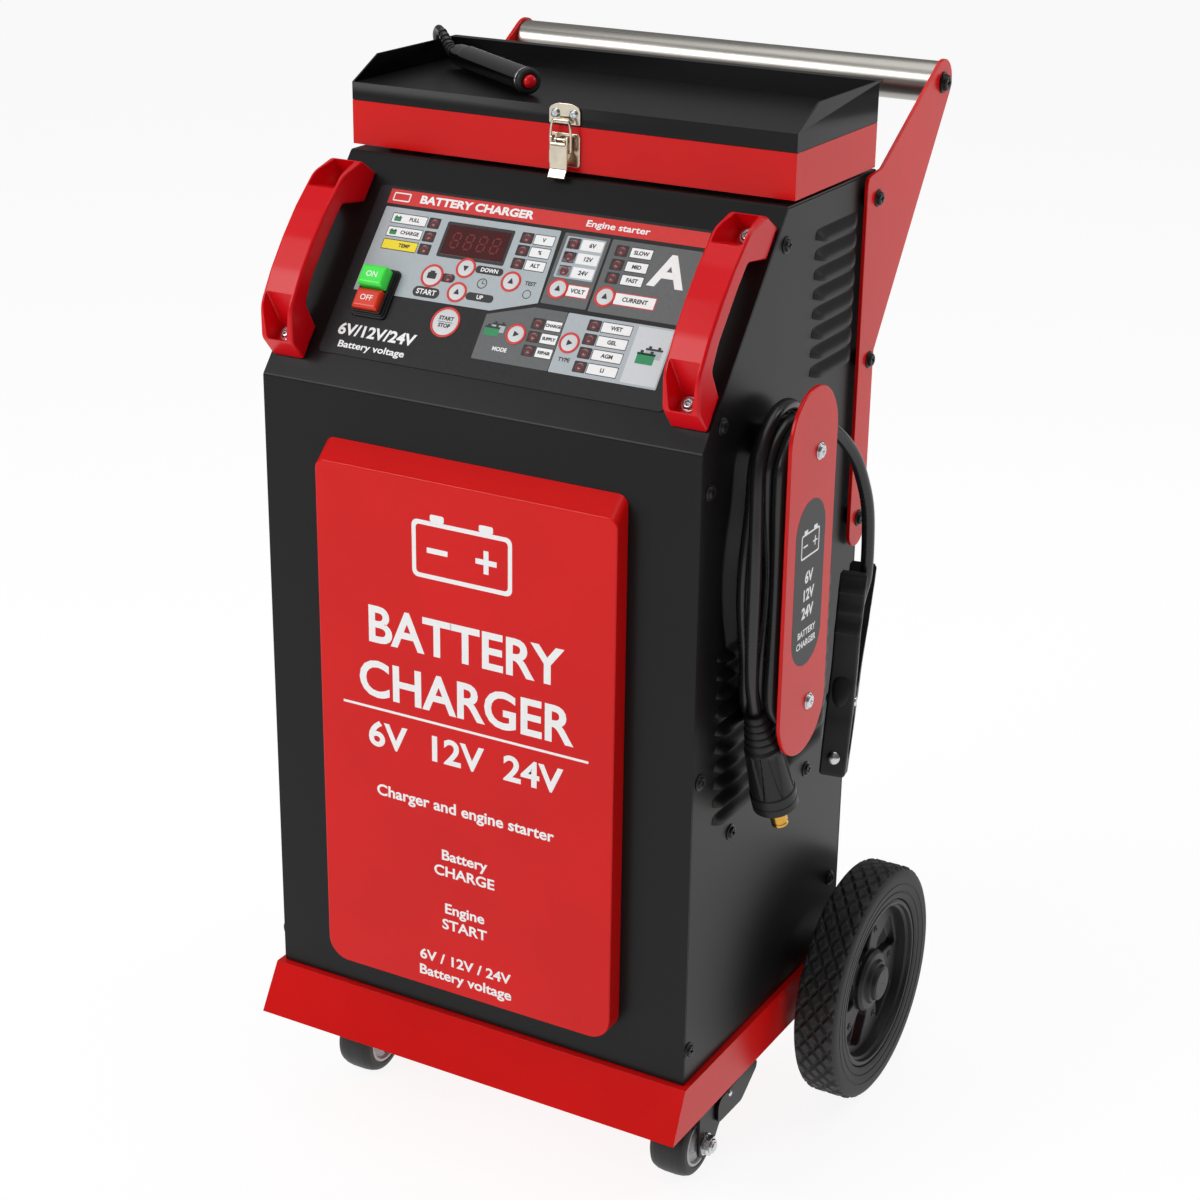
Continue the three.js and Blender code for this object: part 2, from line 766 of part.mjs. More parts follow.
function toolBoxAndLid() {
  add("storage_box", toolBox(), redPaint);
  add("lid_tray", lidTray(), blackPaint);
  add("lid_hinge", lidHinge(), steel);
  add("latch_base", latchBase(), nickel);
  add("latch_lever", latchLever(), nickel);
  add("latch_bail", latchBail(), nickel);
  add("latch_keeper", latchKeeper(), nickel);
}

// ---------------------------------------------------------------- push bar and brackets
const BRACKET_SCREWS = [
  [267.1, 756.3],
  [266.6, 631.4],
  [263, 503.9],
];

function pushBracket() {
  const front = 247.5;
  const rear = 275;
  const end = new THREE.Vector2(BAR.y, BAR.z);
  const notch = new THREE.Vector2(272.5, 777.5);
  const elbow = new THREE.Vector2(rear, 636);
  // Tangent points of the two straight edges on the round end.
  const tangent = (from, sign) => {
    const away = end.clone().sub(from);
    const spread = Math.asin(BRACKET_END_R / away.length());
    const heading = Math.atan2(away.y, away.x) + sign * spread;
    const run = Math.sqrt(away.lengthSq() - BRACKET_END_R ** 2);
    return new THREE.Vector2(from.x + run * Math.cos(heading), from.y + run * Math.sin(heading));
  };
  const top = tangent(notch, 1);
  const low = tangent(elbow, -1);
  const shape = new THREE.Shape();
  shape.moveTo(front, 495);
  shape.absarc((front + rear) / 2, 495, (rear - front) / 2, Math.PI, 2 * Math.PI, false);
  shape.lineTo(elbow.x, elbow.y);
  shape.lineTo(low.x, low.y);
  const from = Math.atan2(low.y - end.y, low.x - end.x);
  const to = Math.atan2(top.y - end.y, top.x - end.x);
  shape.absarc(end.x, end.y, BRACKET_END_R, from, to, false);
  shape.lineTo(notch.x, notch.y);
  shape.lineTo(front + 6, CAB_TOP - 1);
  shape.quadraticCurveTo(front, CAB_TOP - 1, front, CAB_TOP - 7);
  shape.closePath();
  const plate = slab("x", shape, BRACKET_X, BRACKET_X + BRACKET_T, 6);
  const spacers = BRACKET_SCREWS.map(([y, z]) => rod("x", HALF_W + GAP, BRACKET_X + 1, [y, z], 6, 8));
  const heads = BRACKET_SCREWS.map(([y, z]) => rod("x", BRACKET_X + 1, BRACKET_X + 7, [y, z], 6, 8));
  const barBolt = rod("x", BRACKET_X + 1, BRACKET_X + 8, [BAR.y, BAR.z], 7, 8);
  return join(plate, ...spacers, ...heads, barBolt);
}

function pushBar() {
  const end = BRACKET_X - GAP;
  const wall = [
    [BAR.r - 2, -end],
    [BAR.r, -end],
    [BAR.r, end],
    [BAR.r - 2, end],
    [BAR.r - 2, -end],
  ];
  return turnedX(wall, [BAR.y, BAR.z], 20);
}

function pushFrame() {
  add("push_bar", pushBar(), steel);
  for (const [side, sign] of SIDES) {
    add(`${side}_push_bracket`, onSide(pushBracket(), sign), redPaint);
  }
}

// ---------------------------------------------------------------- cable hanger
function cableHanger() {
  const { x, t, y, half, z0, z1, post_r: r } = HANGER;
  const plate = new THREE.Shape();
  plate.absarc(y - 9.5, z0 + half, half, Math.PI, 2 * Math.PI, false);
  plate.absarc(y - 9.5, z1 - half, half, 0, Math.PI, false);
  plate.closePath();
  const posts = HANGER_POSTS.map((z) => rod("x", HALF_W + GAP, x + 1, [y, z], r, 12));
  const heads = HANGER_POSTS.map((z) => rod("x", x + 1, x + t + 3.5, [y, z], 6, 8));
  return join(slab("x", plate, x, x + t, 8), ...posts, ...heads);
}

// ---------------------------------------------------------------- inside the cabinet and on its back
function transformer() {
  const floor = TRAY_TOP + GAP;
  const core = box(-90, 90, 70, 200, floor, 290);
  const windows = [-45, 45].map((x) => box(x - 22, x + 22, 60, 210, 160, 262));
  const coils = [-45, 45].map((x) => {
    const wound = slab("z", rectangle(x - 52, x + 52, 52, 218, 26), 164, 258, 4);
    return wound;
  });
  return join(cut(core, ...windows), ...coils);
}

function rectifierHeatsink() {
  const base = box(-80, 80, 90, 180, 290 + GAP, 300);
  const fins = Array.from({ length: 9 }, (_, i) => box(-80 + i * 19.5, -76 + i * 19.5, 90, 180, 299, 380));
  return join(base, ...fins);
}

function controlBoard() {
  const board = box(-130, 130, 30, 160, -22, -20);
  const posts = [-120, 120].flatMap((x) =>
    [40, 150].map((s) => rod("z", -21, -SHEET - GAP, [x, s], 4, 8)),
  );
  const parts = [-90, -50, 0, 50].map((x) => box(x, x + 22, 60, 90, -36, -21));
  return join(board, ...posts, ...parts);
}

const FAN = { half: 60, depth: 38, back: DEPTH - SHEET - GAP };

function fanHousing() {
  const { half, depth, back } = FAN;
  const frame = slab("y", rectangle(-half, half, FAN_Z - half, FAN_Z + half, 6), back - depth, back);
  const duct = rod("y", back - depth - 1, back + 1, [0, FAN_Z], half - 3, 20);
  const struts = [0, Math.PI / 2].map((turn) =>
    box(-half + 1, half - 1, back - depth, back - depth + 3, -3, 3).rotate([0, (turn * 180) / Math.PI, 0]),
  );
  const hub = rod("y", back - depth, back - depth + 3, [0, 0], 20, 12);
  const spider = join(...struts, hub).translate([0, 0, FAN_Z]);
  return join(cut(frame, duct), spider);
}

function fanRotor() {
  const { half, depth, back } = FAN;
  const front = back - depth + 4;
  const hub = rod("y", front, back - 6, [0, 0], 20, 12);
  const blades = Array.from({ length: 7 }, (_, i) => {
    const blade = box(15, half - 6, front + 3, back - 9, -1.2, 1.2);
    const tilted = blade.translate([0, -(front + back) / 2, 0]).rotate([35, 0, 0]);
    const placed = tilted.translate([0, (front + back) / 2, 0]);
    return placed.rotate([0, (i * 360) / 7, 0]);
  });
  const limits = box(-half, half, front + 0.5, back - 4, -half, half);
  return join(hub, ...blades).intersect(limits).translate([0, 0, FAN_Z]);
}

function outputSocket(x) {
  const face = DEPTH + GAP;
  const body = [
    [6.8, face + 4],
    [6.8, face + 22],
    [17, face + 22],
    [19, face + 19],
    [21, face + 3],
    [22, face],
    [0, face],
    [0, face + 4],
    [6.8, face + 4],
  ];
  return turnedY(body, [x, SOCKET.z], 16);
}

function gland(x, z, r, length) {
  const face = DEPTH + GAP;
  const nut = rod("y", face, face + length * 0.45, [x, z], r * 1.25, 6);
  const cone = rod("y", face + length * 0.4, face + length, [x, z], r, 16, r * 0.6);
  return join(nut, cone);
}

const MAINS_GLAND = { x: 110, z: 190, r: 11, length: 30 };
const CORD_GLAND = { x: -100, z: 720, r: 7, length: 23 };

function insides() {
  add("transformer", transformer(), copper);
  add("rectifier_heatsink", rectifierHeatsink(), aluminium);
  add("control_board", controlBoard(), boardGreen, slope);
  add("fan_housing", fanHousing(), blackPlastic);
  add("fan_rotor", fanRotor(), blackPlastic);
  add("output_socket_positive", outputSocket(SOCKET.x), redPlastic);
  add("output_socket_negative", outputSocket(-SOCKET.x), blackPlastic);
  const { x, z, r, length } = MAINS_GLAND;
  add("mains_gland", gland(x, z, r, length), blackPlastic);
  add("handset_gland", gland(CORD_GLAND.x, CORD_GLAND.z, CORD_GLAND.r, CORD_GLAND.length), blackPlastic);
}

// ---------------------------------------------------------------- hand switch and its cord
const HANDSET = { cap: [-43.7, 151.3], rear: [-155, 225.7], z: 836.6, r: 9.9 };

function handset() {
  const place = new THREE.Group(); // local y runs from the button end towards the cord end
  const along = new THREE.Vector2(HANDSET.rear[0] - HANDSET.cap[0], HANDSET.rear[1] - HANDSET.cap[1]);
  place.position.set(HANDSET.cap[0], HANDSET.cap[1], HANDSET.z);
  place.rotation.z = Math.atan2(along.y, along.x) - Math.PI / 2;
  machine.add(place);
  const length = along.length();
  const r = HANDSET.r;
  const body = [
    [5.6, 4],
    [5.6, 0],
    [r - 1.5, 0],
    [r, 2],
    [r - 0.8, length - 6],
    [r - 2, length],
    [0, length],
    [0, 4],
    [5.6, 4],
  ];
  add("handset_body", turnedY(body, [0, 0], 16), blackPlastic, place);
  add("handset_button", rod("y", -3.2, 1.2, [0, 0], 5.2, 12), redPlastic, place);
}

const BOOT_PATH = [
  [-156.6, 226.8, 836.8],
  [-166, 233, 838.8],
  [-173, 238, 843.6],
  [-180.2, 242.8, 849.2],
];
const CORD_UPPER = [
  [-182.2, 244.2, 850.6],
  [-187.5, 248.2, 851],
  [-192.6, 253, 845],
  [-194, 259, 832],
  [-194, 265, 820],
  [-194, 269.5, 812.8],
];
const CORD_LOWER = [
  [-194, 269.5, 809.2],
  [-194.3, 273, 798],
  [-194.6, 280, 775],
  [-194.6, 286, 745],
  [-194.6, 291, 700],
  [-194.4, 297, 655],
  [-190, 304, 610],
  [-178, 312, 540],
  [-164, 319, 450],
  [-155, 323, 340],
  [-150, 324, 230],
  [-148, 324, 140],
  [-145, 324, 84],
  [-131, 323, 50],
  [-108, 322, 50],
  [-93, 321, 84],
  [-89, 321, 140],
  [-88, 321, 260],
  [-89, 322, 400],
  [-92, 323, 540],
  [-96, 325, 640],
  [-99, 325, 685],
  [-100, 320, 708],
  [-100, 309, 719],
  [-100, 297.6, 720],
];

function handsetCord() {
  add("handset_boot", tube(BOOT_PATH, 5, 6, 8), rubber);
  add("handset_lead_upper", tube(CORD_UPPER, CORD_R, 12), rubber);
  add("handset_lead_lower", tube(CORD_LOWER, CORD_R, 46), rubber);
}

// ---------------------------------------------------------------- the output lead on its hanger
const WINDING = { x0: 190.3, x1: 222.8 };
const WINDING_OUTER = [
  [95, 646],
  [66, 636],
  [46, 595],
  [36, 530],
  [41, 480],
  [58, 445],
  [80, 412],
  [99, 394.5],
  [121, 402],
  [131, 440],
  [134, 515],
  [132, 595],
  [122, 634],
];
const WINDING_INNER = [
  [97, 625.4],
  [83, 619],
  [79, 590],
  [77, 515],
  [80, 440],
  [84, 412],
  [97, 405.5],
  [110, 411],
  [114, 440],
  [116, 515],
  [114, 590],
  [110, 620],
];

function leadWinding() {
  const outer = slab("x", smoothLoop(WINDING_OUTER, 39), WINDING.x0, WINDING.x1);
  const inner = slab("x", smoothLoop(WINDING_INNER, 36), WINDING.x0 - 1, WINDING.x1 + 1);
  return cut(outer, inner);
}

const PLUG_TAIL = [
  [206, 45.2, 455],
  [205.8, 48, 444],
  [205.4, 53, 432],
  [205, 58, 419.5],
];
const CLAMP_TAIL = [
  [206, 136, 620.5],
  [208, 146, 615.5],
  [211, 159, 607.5],
  [215, 172, 596],
  [219, 184, 580.5],
  [222, 193, 561],
  [224, 200, 540],
  [224.4, 204, 515],
  [224.3, 204.5, 483.3],
];
const PLUG = { top: [205, 58.2, 418.6], tip: [215, 88.6, 317.7] };

// Places a group so that its local z runs from one point to another.
function along(from, to) {
  const place = new THREE.Group();
  const direction = new THREE.Vector3(...to).sub(new THREE.Vector3(...from));
  place.position.set(...from);
  place.quaternion.setFromUnitVectors(new THREE.Vector3(0, 0, 1), direction.normalize());
  machine.add(place);
  return place;
}

function leadPlug() {
  const length = new THREE.Vector3(...PLUG.tip).distanceTo(new THREE.Vector3(...PLUG.top));
  const shell = [
    [0, 0],
    [8.5, 0],
    [11.5, 8],
    [12.5, 30],
    [14.5, 34],
    [16.5, 76],
    [17.5, 78],
    [17.5, 90],
    [16, 92],
    [6.5, 92],
    [6.5, length - 2],
    [5, length],
    [0, length],
  ];
  const points = shell.map(([r, z]) => new THREE.Vector2(r, z));
  return solid(new THREE.LatheGeometry(points, 16).rotateX(Math.PI / 2));
}

// Battery clamp: two sprung arms pivoted on each other. Local z runs from the cable end to the jaws,
// local x across the arms, local y from the rear arm to the front arm.
const CLAMP = { top: [214, 215, 483], length: 165, pivot: 104, width: 10.3 };

function clampPlace() {
  const place = new THREE.Group();
  const down = new THREE.Vector3(2, -34, -161).normalize();
  const across = new THREE.Vector3(0.966, 0.259, 0);
  across.addScaledVector(down, -across.dot(down)).normalize();
  const towards = new THREE.Vector3().crossVectors(down, across);
  place.quaternion.setFromRotationMatrix(new THREE.Matrix4().makeBasis(across, towards, down));
  place.position.set(...CLAMP.top);
  machine.add(place);
  return place;
}

function clampArm(sign) {
  const { length, pivot, width } = CLAMP;
  const arm = outline([
    [24, 0, 1.5],
    [28, 0, 1.5],
    [24, 40],
    [14, 88, 10],
    [11, 118, 10],
    [9, length, 2],
    [0.6, length],
    [0.6, length - 14, 1],
    [5, length - 22, 3],
    [5.5, pivot + 14],
    [2.8, pivot + 8],
    [0.4, pivot],
    [2.8, pivot - 8],
    [7, pivot - 16, 4],
    [20, 40],
  ]);
  // The outline is [y, z]; the slab runs along local x.
  const bar = slab("x", arm, -width, width);
  return sign > 0 ? bar : bar.mirror([0, 1, 0]);
}

function outputLead() {
  add("lead_winding", leadWinding(), rubber);
  add("lead_plug_tail", tube(PLUG_TAIL, LEAD_R, 4, 8), rubber);
  add("lead_clamp_tail", tube(CLAMP_TAIL, LEAD_R, 16, 8), rubber);
  add("lead_plug", leadPlug(), blackPlastic, along(PLUG.top, PLUG.tip));
  const place = clampPlace();
  add("clamp_front_arm", clampArm(1), blackPlastic, place);
  add("clamp_rear_arm", clampArm(-1), blackPlastic, place);
}

cabinet();
runningGear();
castors();
controlPanel();
toolBoxAndLid();
pushFrame();
add("right_cable_hanger", cableHanger(), redPaint);
insides();
handset();
handsetCord();
outputLead();

export default machine;
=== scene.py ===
import math

import bmesh
import bpy
from mathutils import Matrix, Vector


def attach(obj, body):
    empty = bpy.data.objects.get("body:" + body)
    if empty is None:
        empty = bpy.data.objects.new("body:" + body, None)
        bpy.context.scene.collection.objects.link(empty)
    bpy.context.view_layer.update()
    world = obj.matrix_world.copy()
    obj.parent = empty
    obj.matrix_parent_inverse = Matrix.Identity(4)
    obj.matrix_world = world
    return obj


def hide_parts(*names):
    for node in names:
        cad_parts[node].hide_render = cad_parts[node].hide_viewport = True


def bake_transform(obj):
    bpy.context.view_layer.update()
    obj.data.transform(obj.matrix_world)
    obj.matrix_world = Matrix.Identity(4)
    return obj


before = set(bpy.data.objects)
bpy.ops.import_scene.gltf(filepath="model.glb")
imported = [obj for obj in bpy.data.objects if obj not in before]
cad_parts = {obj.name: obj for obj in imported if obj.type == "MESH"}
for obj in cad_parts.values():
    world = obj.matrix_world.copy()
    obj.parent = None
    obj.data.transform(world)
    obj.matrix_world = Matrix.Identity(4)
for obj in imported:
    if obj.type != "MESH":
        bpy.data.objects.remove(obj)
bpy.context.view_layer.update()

scene = bpy.context.scene

# ------------------------------------------------------------------ places, in millimetres
# Pieces are drawn in the cabinet's own millimetres: x across, y back from its front, z up.
MM = 0.001
MIDDLE_Y = 188.05
HALF_W = 185.0
DEPTH = 273.5
CAB_BOTTOM, BEND_Z, SLOPE_Y, CAB_TOP = 127.7, 627.8, 121.0, 776.5
SHEET = 1.5
GAP = 0.3
SLOPE_ANGLE = math.atan2(CAB_TOP - BEND_Z, SLOPE_Y)
PART = Matrix.Translation((0, -MIDDLE_Y * MM, 0)) @ Matrix.Scale(MM, 4)
SLOPE = Matrix.Translation((0, 0, BEND_Z)) @ Matrix.Rotation(SLOPE_ANGLE, 4, "X")
FACE_FRONT = Matrix.Rotation(math.pi / 2, 4, "X")
FACE_BACK = Matrix.Rotation(math.pi, 4, "Z") @ FACE_FRONT
FACE_RIGHT = Matrix(((0, 0, 1, 0), (1, 0, 0, 0), (0, 1, 0, 0), (0, 0, 0, 1)))
SIDES = (("left", -1), ("right", 1))


def at(x, y, z):
    return Matrix.Translation((x, y, z))


def on_side(sign):
    """Leaves a right-hand piece where it is, or mirrors it to the left."""
    return Matrix.Diagonal((sign, 1, 1, 1))


def in_part(point):
    """A point of the cabinet's millimetres in the part's frame, in metres."""
    return PART @ Vector(point)


# ------------------------------------------------------------------ camera, floor and light
CAMERA_AT = (895.24, -1407.35, 1148.11)
YAW, PITCH, ROLL = math.radians(29.256), math.radians(-21.70), math.radians(0.84)
LENS, SENSOR = 73.13, 36.0
CLIP = (0.05, 600)  # metres
FLOOR_HALF = 160  # metres, so that its edge is far off in low views


def make_camera():
    forward = Vector(
        (-math.sin(YAW) * math.cos(PITCH), math.cos(YAW) * math.cos(PITCH), math.sin(PITCH))
    )
    right = Vector((math.cos(YAW), math.sin(YAW), 0))
    up = right.cross(forward)
    across = right * math.cos(ROLL) + up * math.sin(ROLL)
    high = up * math.cos(ROLL) - right * math.sin(ROLL)
    data = bpy.data.cameras.new("camera")
    data.lens, data.sensor_width = LENS, SENSOR
    data.clip_start, data.clip_end = CLIP
    camera = bpy.data.objects.new("camera", data)
    turn = Matrix((across, high, -forward)).transposed().to_4x4()
    camera.matrix_world = Matrix.Translation(in_part(CAMERA_AT)) @ turn
    scene.collection.objects.link(camera)
    scene.camera = camera


def area_light(name, place, target, size, watts):
    data = bpy.data.lights.new(name, "AREA")
    data.shape, data.size, data.size_y = "RECTANGLE", size[0], size[1]
    data.energy = watts
    lamp = bpy.data.objects.new(name, data)
    place, target = Vector(place), Vector(target)
    lamp.matrix_world = Matrix.Translation(place) @ (
        (target - place).to_track_quat("-Z", "Y").to_matrix().to_4x4()
    )
    scene.collection.objects.link(lamp)


def make_light():
    world = bpy.data.worlds.new("studio")
    world.use_nodes = True
    nodes, links = world.node_tree.nodes, world.node_tree.links
    coord = nodes.new("ShaderNodeTexCoord")
    split = nodes.new("ShaderNodeSeparateXYZ")
    links.new(coord.outputs["Generated"], split.inputs[0])
    both = nodes.new("ShaderNodeMath")
    both.operation = "MULTIPLY"
    for slot, (axis, *limits) in enumerate(
        (("Z", -0.1, 0.9, 0.14, 0.36), ("X", 0.1, 0.95, 1.0, 0.3))
    ):
        fade = nodes.new("ShaderNodeMapRange")
        for name, value in zip(("From Min", "From Max", "To Min", "To Max"), limits):
            fade.inputs[name].default_value = value
        links.new(split.outputs[axis], fade.inputs["Value"])
        links.new(fade.outputs[0], both.inputs[slot])
    background = nodes["Background"]
    background.inputs["Color"].default_value = (1, 1, 1, 1)
    links.new(both.outputs[0], background.inputs["Strength"])
    scene.world = world
    area_light("key", (-1.5, -2.3, 2.3), (0, 0, 0.45), (1.7, 1.3), 44)
    area_light("top", (0.1, 0.2, 2.9), (0, 0, 0), (2.4, 2.4), 22)
    area_light("rim", (1.9, 1.6, 1.9), (0.1, 0.1, 0.5), (0.5, 1.6), 12)


def make_floor():
    bm = bmesh.new()
    bmesh.ops.create_grid(bm, x_segments=8, y_segments=8, size=FLOOR_HALF)
    mesh = bpy.data.meshes.new("studio_floor")
    bm.to_mesh(mesh)
    bm.free()
    floor = bpy.data.objects.new("studio_floor", mesh)
    scene.collection.objects.link(floor)
    pale = bpy.data.materials.new("pale_floor")
    pale.use_nodes = True
    shader = pale.node_tree.nodes["Principled BSDF"]
    shader.inputs["Base Color"].default_value = (0.14, 0.14, 0.14, 1)
    shader.inputs["Roughness"].default_value = 0.9
    shader.inputs["Specular IOR Level"].default_value = 0.1
    shader.inputs["Emission Color"].default_value = (1, 1, 1, 1)
    shader.inputs["Emission Strength"].default_value = 0.9
    mesh.materials.append(pale)


scene.view_settings.view_transform = "Standard"
make_camera()
make_floor()
make_light()


# ------------------------------------------------------------------ materials
def linear(*rgb):
    """A display colour, 0 to 255, as scene-linear values."""
    unit = [c / 255 for c in rgb]
    return [c / 12.92 if c <= 0.04045 else ((c + 0.055) / 1.055) ** 2.4 for c in unit]


def finish(
    name,
    colour,
    rough,
    metal=0.0,
    coat=0.0,
    grain=(900, 0.02),
    mottle=(14, 0.08),
    rough_spread=0.05,
    stretch=(1, 1, 1),
    specular=0.5,
    second=None,
    painted_glow=0.0,
):
    """A material with a fine grain (scale, depth in mm), soft colour mottling, uneven gloss and an
    optional painted glow: emission in its own colour.
    """
    made = bpy.data.materials.new(name)
    made.use_nodes = True
    nodes, links = made.node_tree.nodes, made.node_tree.links
    shader = nodes["Principled BSDF"]
    shader.inputs["Metallic"].default_value = metal
    shader.inputs["Specular IOR Level"].default_value = specular
    if coat:
        shader.inputs["Coat Weight"].default_value = coat
        shader.inputs["Coat Roughness"].default_value = 0.08
    base = linear(*colour)
    # painted glow: the base colour is also emitted, so the surface glows though it is no lamp
    if painted_glow:
        shader.inputs["Emission Color"].default_value = (*base, 1)
        shader.inputs["Emission Strength"].default_value = painted_glow
    coord = nodes.new("ShaderNodeTexCoord")
    scaled = nodes.new("ShaderNodeMapping")
    scaled.inputs["Scale"].default_value = stretch
    links.new(coord.outputs["Object"], scaled.inputs["Vector"])

    def noise(scale, detail):
        made_noise = nodes.new("ShaderNodeTexNoise")
        made_noise.inputs["Scale"].default_value = scale
        made_noise.inputs["Detail"].default_value = detail
        links.new(scaled.outputs[0], made_noise.inputs["Vector"])
        return made_noise.outputs["Fac"]

    fine = noise(grain[0], 3)
    broad = noise(mottle[0], 4)
    bump = nodes.new("ShaderNodeBump")
    bump.inputs["Strength"].default_value = 1.0
    bump.inputs["Distance"].default_value = grain[1] * MM
    links.new(fine, bump.inputs["Height"])
    links.new(bump.outputs[0], shader.inputs["Normal"])
    ramp = nodes.new("ShaderNodeValToRGB")
    low = [c * (1 - mottle[1]) for c in base] if second is None else linear(*second)
    high = [min(1, c * (1 + mottle[1])) for c in base]
    ramp.color_ramp.elements[0].position = 0.3
    ramp.color_ramp.elements[1].position = 0.7
    ramp.color_ramp.elements[0].color = (*low, 1)
    ramp.color_ramp.elements[1].color = (*high, 1)
    links.new(broad if second is None else fine, ramp.inputs["Fac"])
    links.new(ramp.outputs["Color"], shader.inputs["Base Color"])
    spread = nodes.new("ShaderNodeMapRange")
    spread.inputs["To Min"].default_value = max(0.02, rough - rough_spread)
    spread.inputs["To Max"].default_value = rough + rough_spread
    mixed = nodes.new("ShaderNodeMath")
    mixed.operation = "MULTIPLY_ADD"
    mixed.inputs[1].default_value = 0.5
    half = nodes.new("ShaderNodeMath")
    half.operation = "MULTIPLY"
    half.inputs[1].default_value = 0.5
    links.new(broad, half.inputs[0])
    links.new(fine, mixed.inputs[0])
    links.new(half.outputs[0], mixed.inputs[2])
    links.new(mixed.outputs[0], spread.inputs["Value"])
    links.new(spread.outputs[0], shader.inputs["Roughness"])
    return made


RED_PAINT = finish(
    "red_powder_coat", (216, 14, 12), 0.22, grain=(420, 0.01), mottle=(9, 0.05), specular=0.24
)
BLACK_PAINT = finish(
    "black_powder_coat", (17, 17, 18), 0.34, grain=(2600, 0.018), mottle=(12, 0.1), specular=0.22
)
RED_PLASTIC = finish(
    "red_moulding", (216, 8, 22), 0.3, grain=(1500, 0.008), mottle=(20, 0.04), specular=0.28
)
BLACK_PLASTIC = finish(
    "black_moulding", (30, 30, 31), 0.45, grain=(1800, 0.03), mottle=(30, 0.15), specular=0.35
)
GLOSS_BLACK = finish(
    "black_gloss_tube", (9, 9, 10), 0.16, coat=0.5, grain=(700, 0.004), mottle=(40, 0.1)
)
RUBBER = finish(
    "tyre_rubber", (33, 32, 32), 0.62, grain=(1300, 0.06), mottle=(35, 0.2), rough_spread=0.1
)
CASTOR_RUBBER = finish("castor_tread", (24, 24, 24), 0.5, grain=(1500, 0.03), mottle=(40, 0.2))
CABLE = finish(
    "cable_sheath", (32, 32, 33), 0.28, grain=(900, 0.004), mottle=(25, 0.06), rough_spread=0.05
)
STEEL = finish(
    "brushed_steel", (172, 169, 163), 0.3, metal=1, grain=(700, 0.012), mottle=(60, 0.12),
    rough_spread=0.16, stretch=(0.02, 1, 1),
)
ZINC = finish("zinc_plate", (205, 207, 210), 0.22, metal=1, grain=(1200, 0.012), mottle=(150, 0.1))
NICKEL = finish(
    "bright_nickel", (214, 204, 186), 0.2, metal=1, grain=(1600, 0.012), mottle=(120, 0.08)
)
BLACK_ZINC = finish(
    "black_screw", (34, 34, 35), 0.35, metal=0.6, grain=(1500, 0.02), mottle=(90, 0.2)
)
BRASS = finish("brass_pin", (214, 165, 74), 0.24, metal=1, grain=(900, 0.01), mottle=(80, 0.12))
FILM = finish(
    "panel_film", (34, 34, 36), 0.5, grain=(3000, 0.03), mottle=(300, 0.15), specular=0.25
)
# The ON button's green carries a painted glow (emission), though the button is no lamp.
GREEN_PLASTIC = finish(
    "green_moulding_painted_glow", (62, 226, 72), 0.28, grain=(900, 0.006), mottle=(60, 0.04), painted_glow=0.12
)
OFF_PLASTIC = finish(
    "orange_red_moulding", (222, 52, 24), 0.28, grain=(900, 0.006), mottle=(60, 0.04)
)
GREY_PLASTIC = finish("grey_hub", (190, 192, 194), 0.45, grain=(1500, 0.02), mottle=(60, 0.05))


def ink_finish(name, colour, rough, depth, mottle):
    return finish(name, colour, rough, grain=(2500, depth), mottle=mottle)


KEY_CAP = ink_finish("key_cap", (214, 216, 217), 0.4, 0.006, (300, 0.02))
WHITE_INK = ink_finish("white_ink", (246, 246, 246), 0.4, 0.004, (200, 0.02))
GREY_INK = ink_finish("light_grey_ink", (176, 184, 189), 0.42, 0.01, (400, 0.03))
MID_INK = ink_finish("mid_grey_ink", (94, 96, 97), 0.45, 0.01, (400, 0.06))
DARK_INK = ink_finish("dark_ink", (30, 30, 32), 0.45, 0.01, (400, 0.1))
LAMP_RING = ink_finish("lamp_ring", (122, 42, 44), 0.3, 0.006, (300, 0.04))
RED_INK = ink_finish("red_ink", (214, 40, 36), 0.4, 0.006, (300, 0.04))
PALE_INK = ink_finish("pale_ink", (208, 214, 217), 0.42, 0.01, (400, 0.02))
YELLOW_INK = ink_finish("yellow_ink", (250, 226, 30), 0.4, 0.006, (300, 0.03))
GREEN_INK = ink_finish("green_ink", (26, 140, 86), 0.4, 0.006, (300, 0.04))
LAMP_LENS = finish("dim_lamp", (98, 66, 68), 0.2, grain=(900, 0.01), mottle=(500, 0.1))
WINDOW = finish("tinted_window", (70, 8, 12), 0.12, coat=0.6, grain=(500, 0.003), mottle=(60, 0.15))
SEGMENT = finish("unlit_segment", (120, 14, 20), 0.3, grain=(900, 0.003), mottle=(200, 0.1))
COPPER = finish(
    "varnished_winding", (168, 92, 50), 0.35, metal=0.8, grain=(900, 0.12), stretch=(1, 1, 6)
)
CORE = finish("laminated_core", (92, 92, 96), 0.45, metal=0.7, grain=(700, 0.1), stretch=(1, 8, 1))
ALUMINIUM = finish(
    "extruded_aluminium", (190, 192, 196), 0.35, metal=1, grain=(800, 0.02), stretch=(1, 0.05, 1)
)
BOARD = finish("solder_mask", (22, 92, 50), 0.4, grain=(700, 0.03), mottle=(160, 0.25))


# ------------------------------------------------------------------ mesh makers
def trashed(obj):
    data = obj.data
    bpy.data.objects.remove(obj)
    if isinstance(data, bpy.types.Curve):
        bpy.data.curves.remove(data)
    else:
        bpy.data.meshes.remove(data)


def evaluated(obj):
    """The mesh of a temporary object with its modifiers applied; the object goes."""
    scene.collection.objects.link(obj)
    graph = bpy.context.evaluated_depsgraph_get()
    graph.update()
    mesh = bpy.data.meshes.new_from_object(obj.evaluated_get(graph))
    trashed(obj)
    return mesh


def cleaned(mesh, matrix=None, weld=0.002):
    bm = bmesh.new()
    bm.from_mesh(mesh)
    if matrix is not None:
        bm.transform(matrix)
    bmesh.ops.remove_doubles(bm, verts=bm.verts, dist=weld)
    bmesh.ops.recalc_face_normals(bm, faces=bm.faces)
    bm.to_mesh(mesh)
    bm.free()
    return mesh


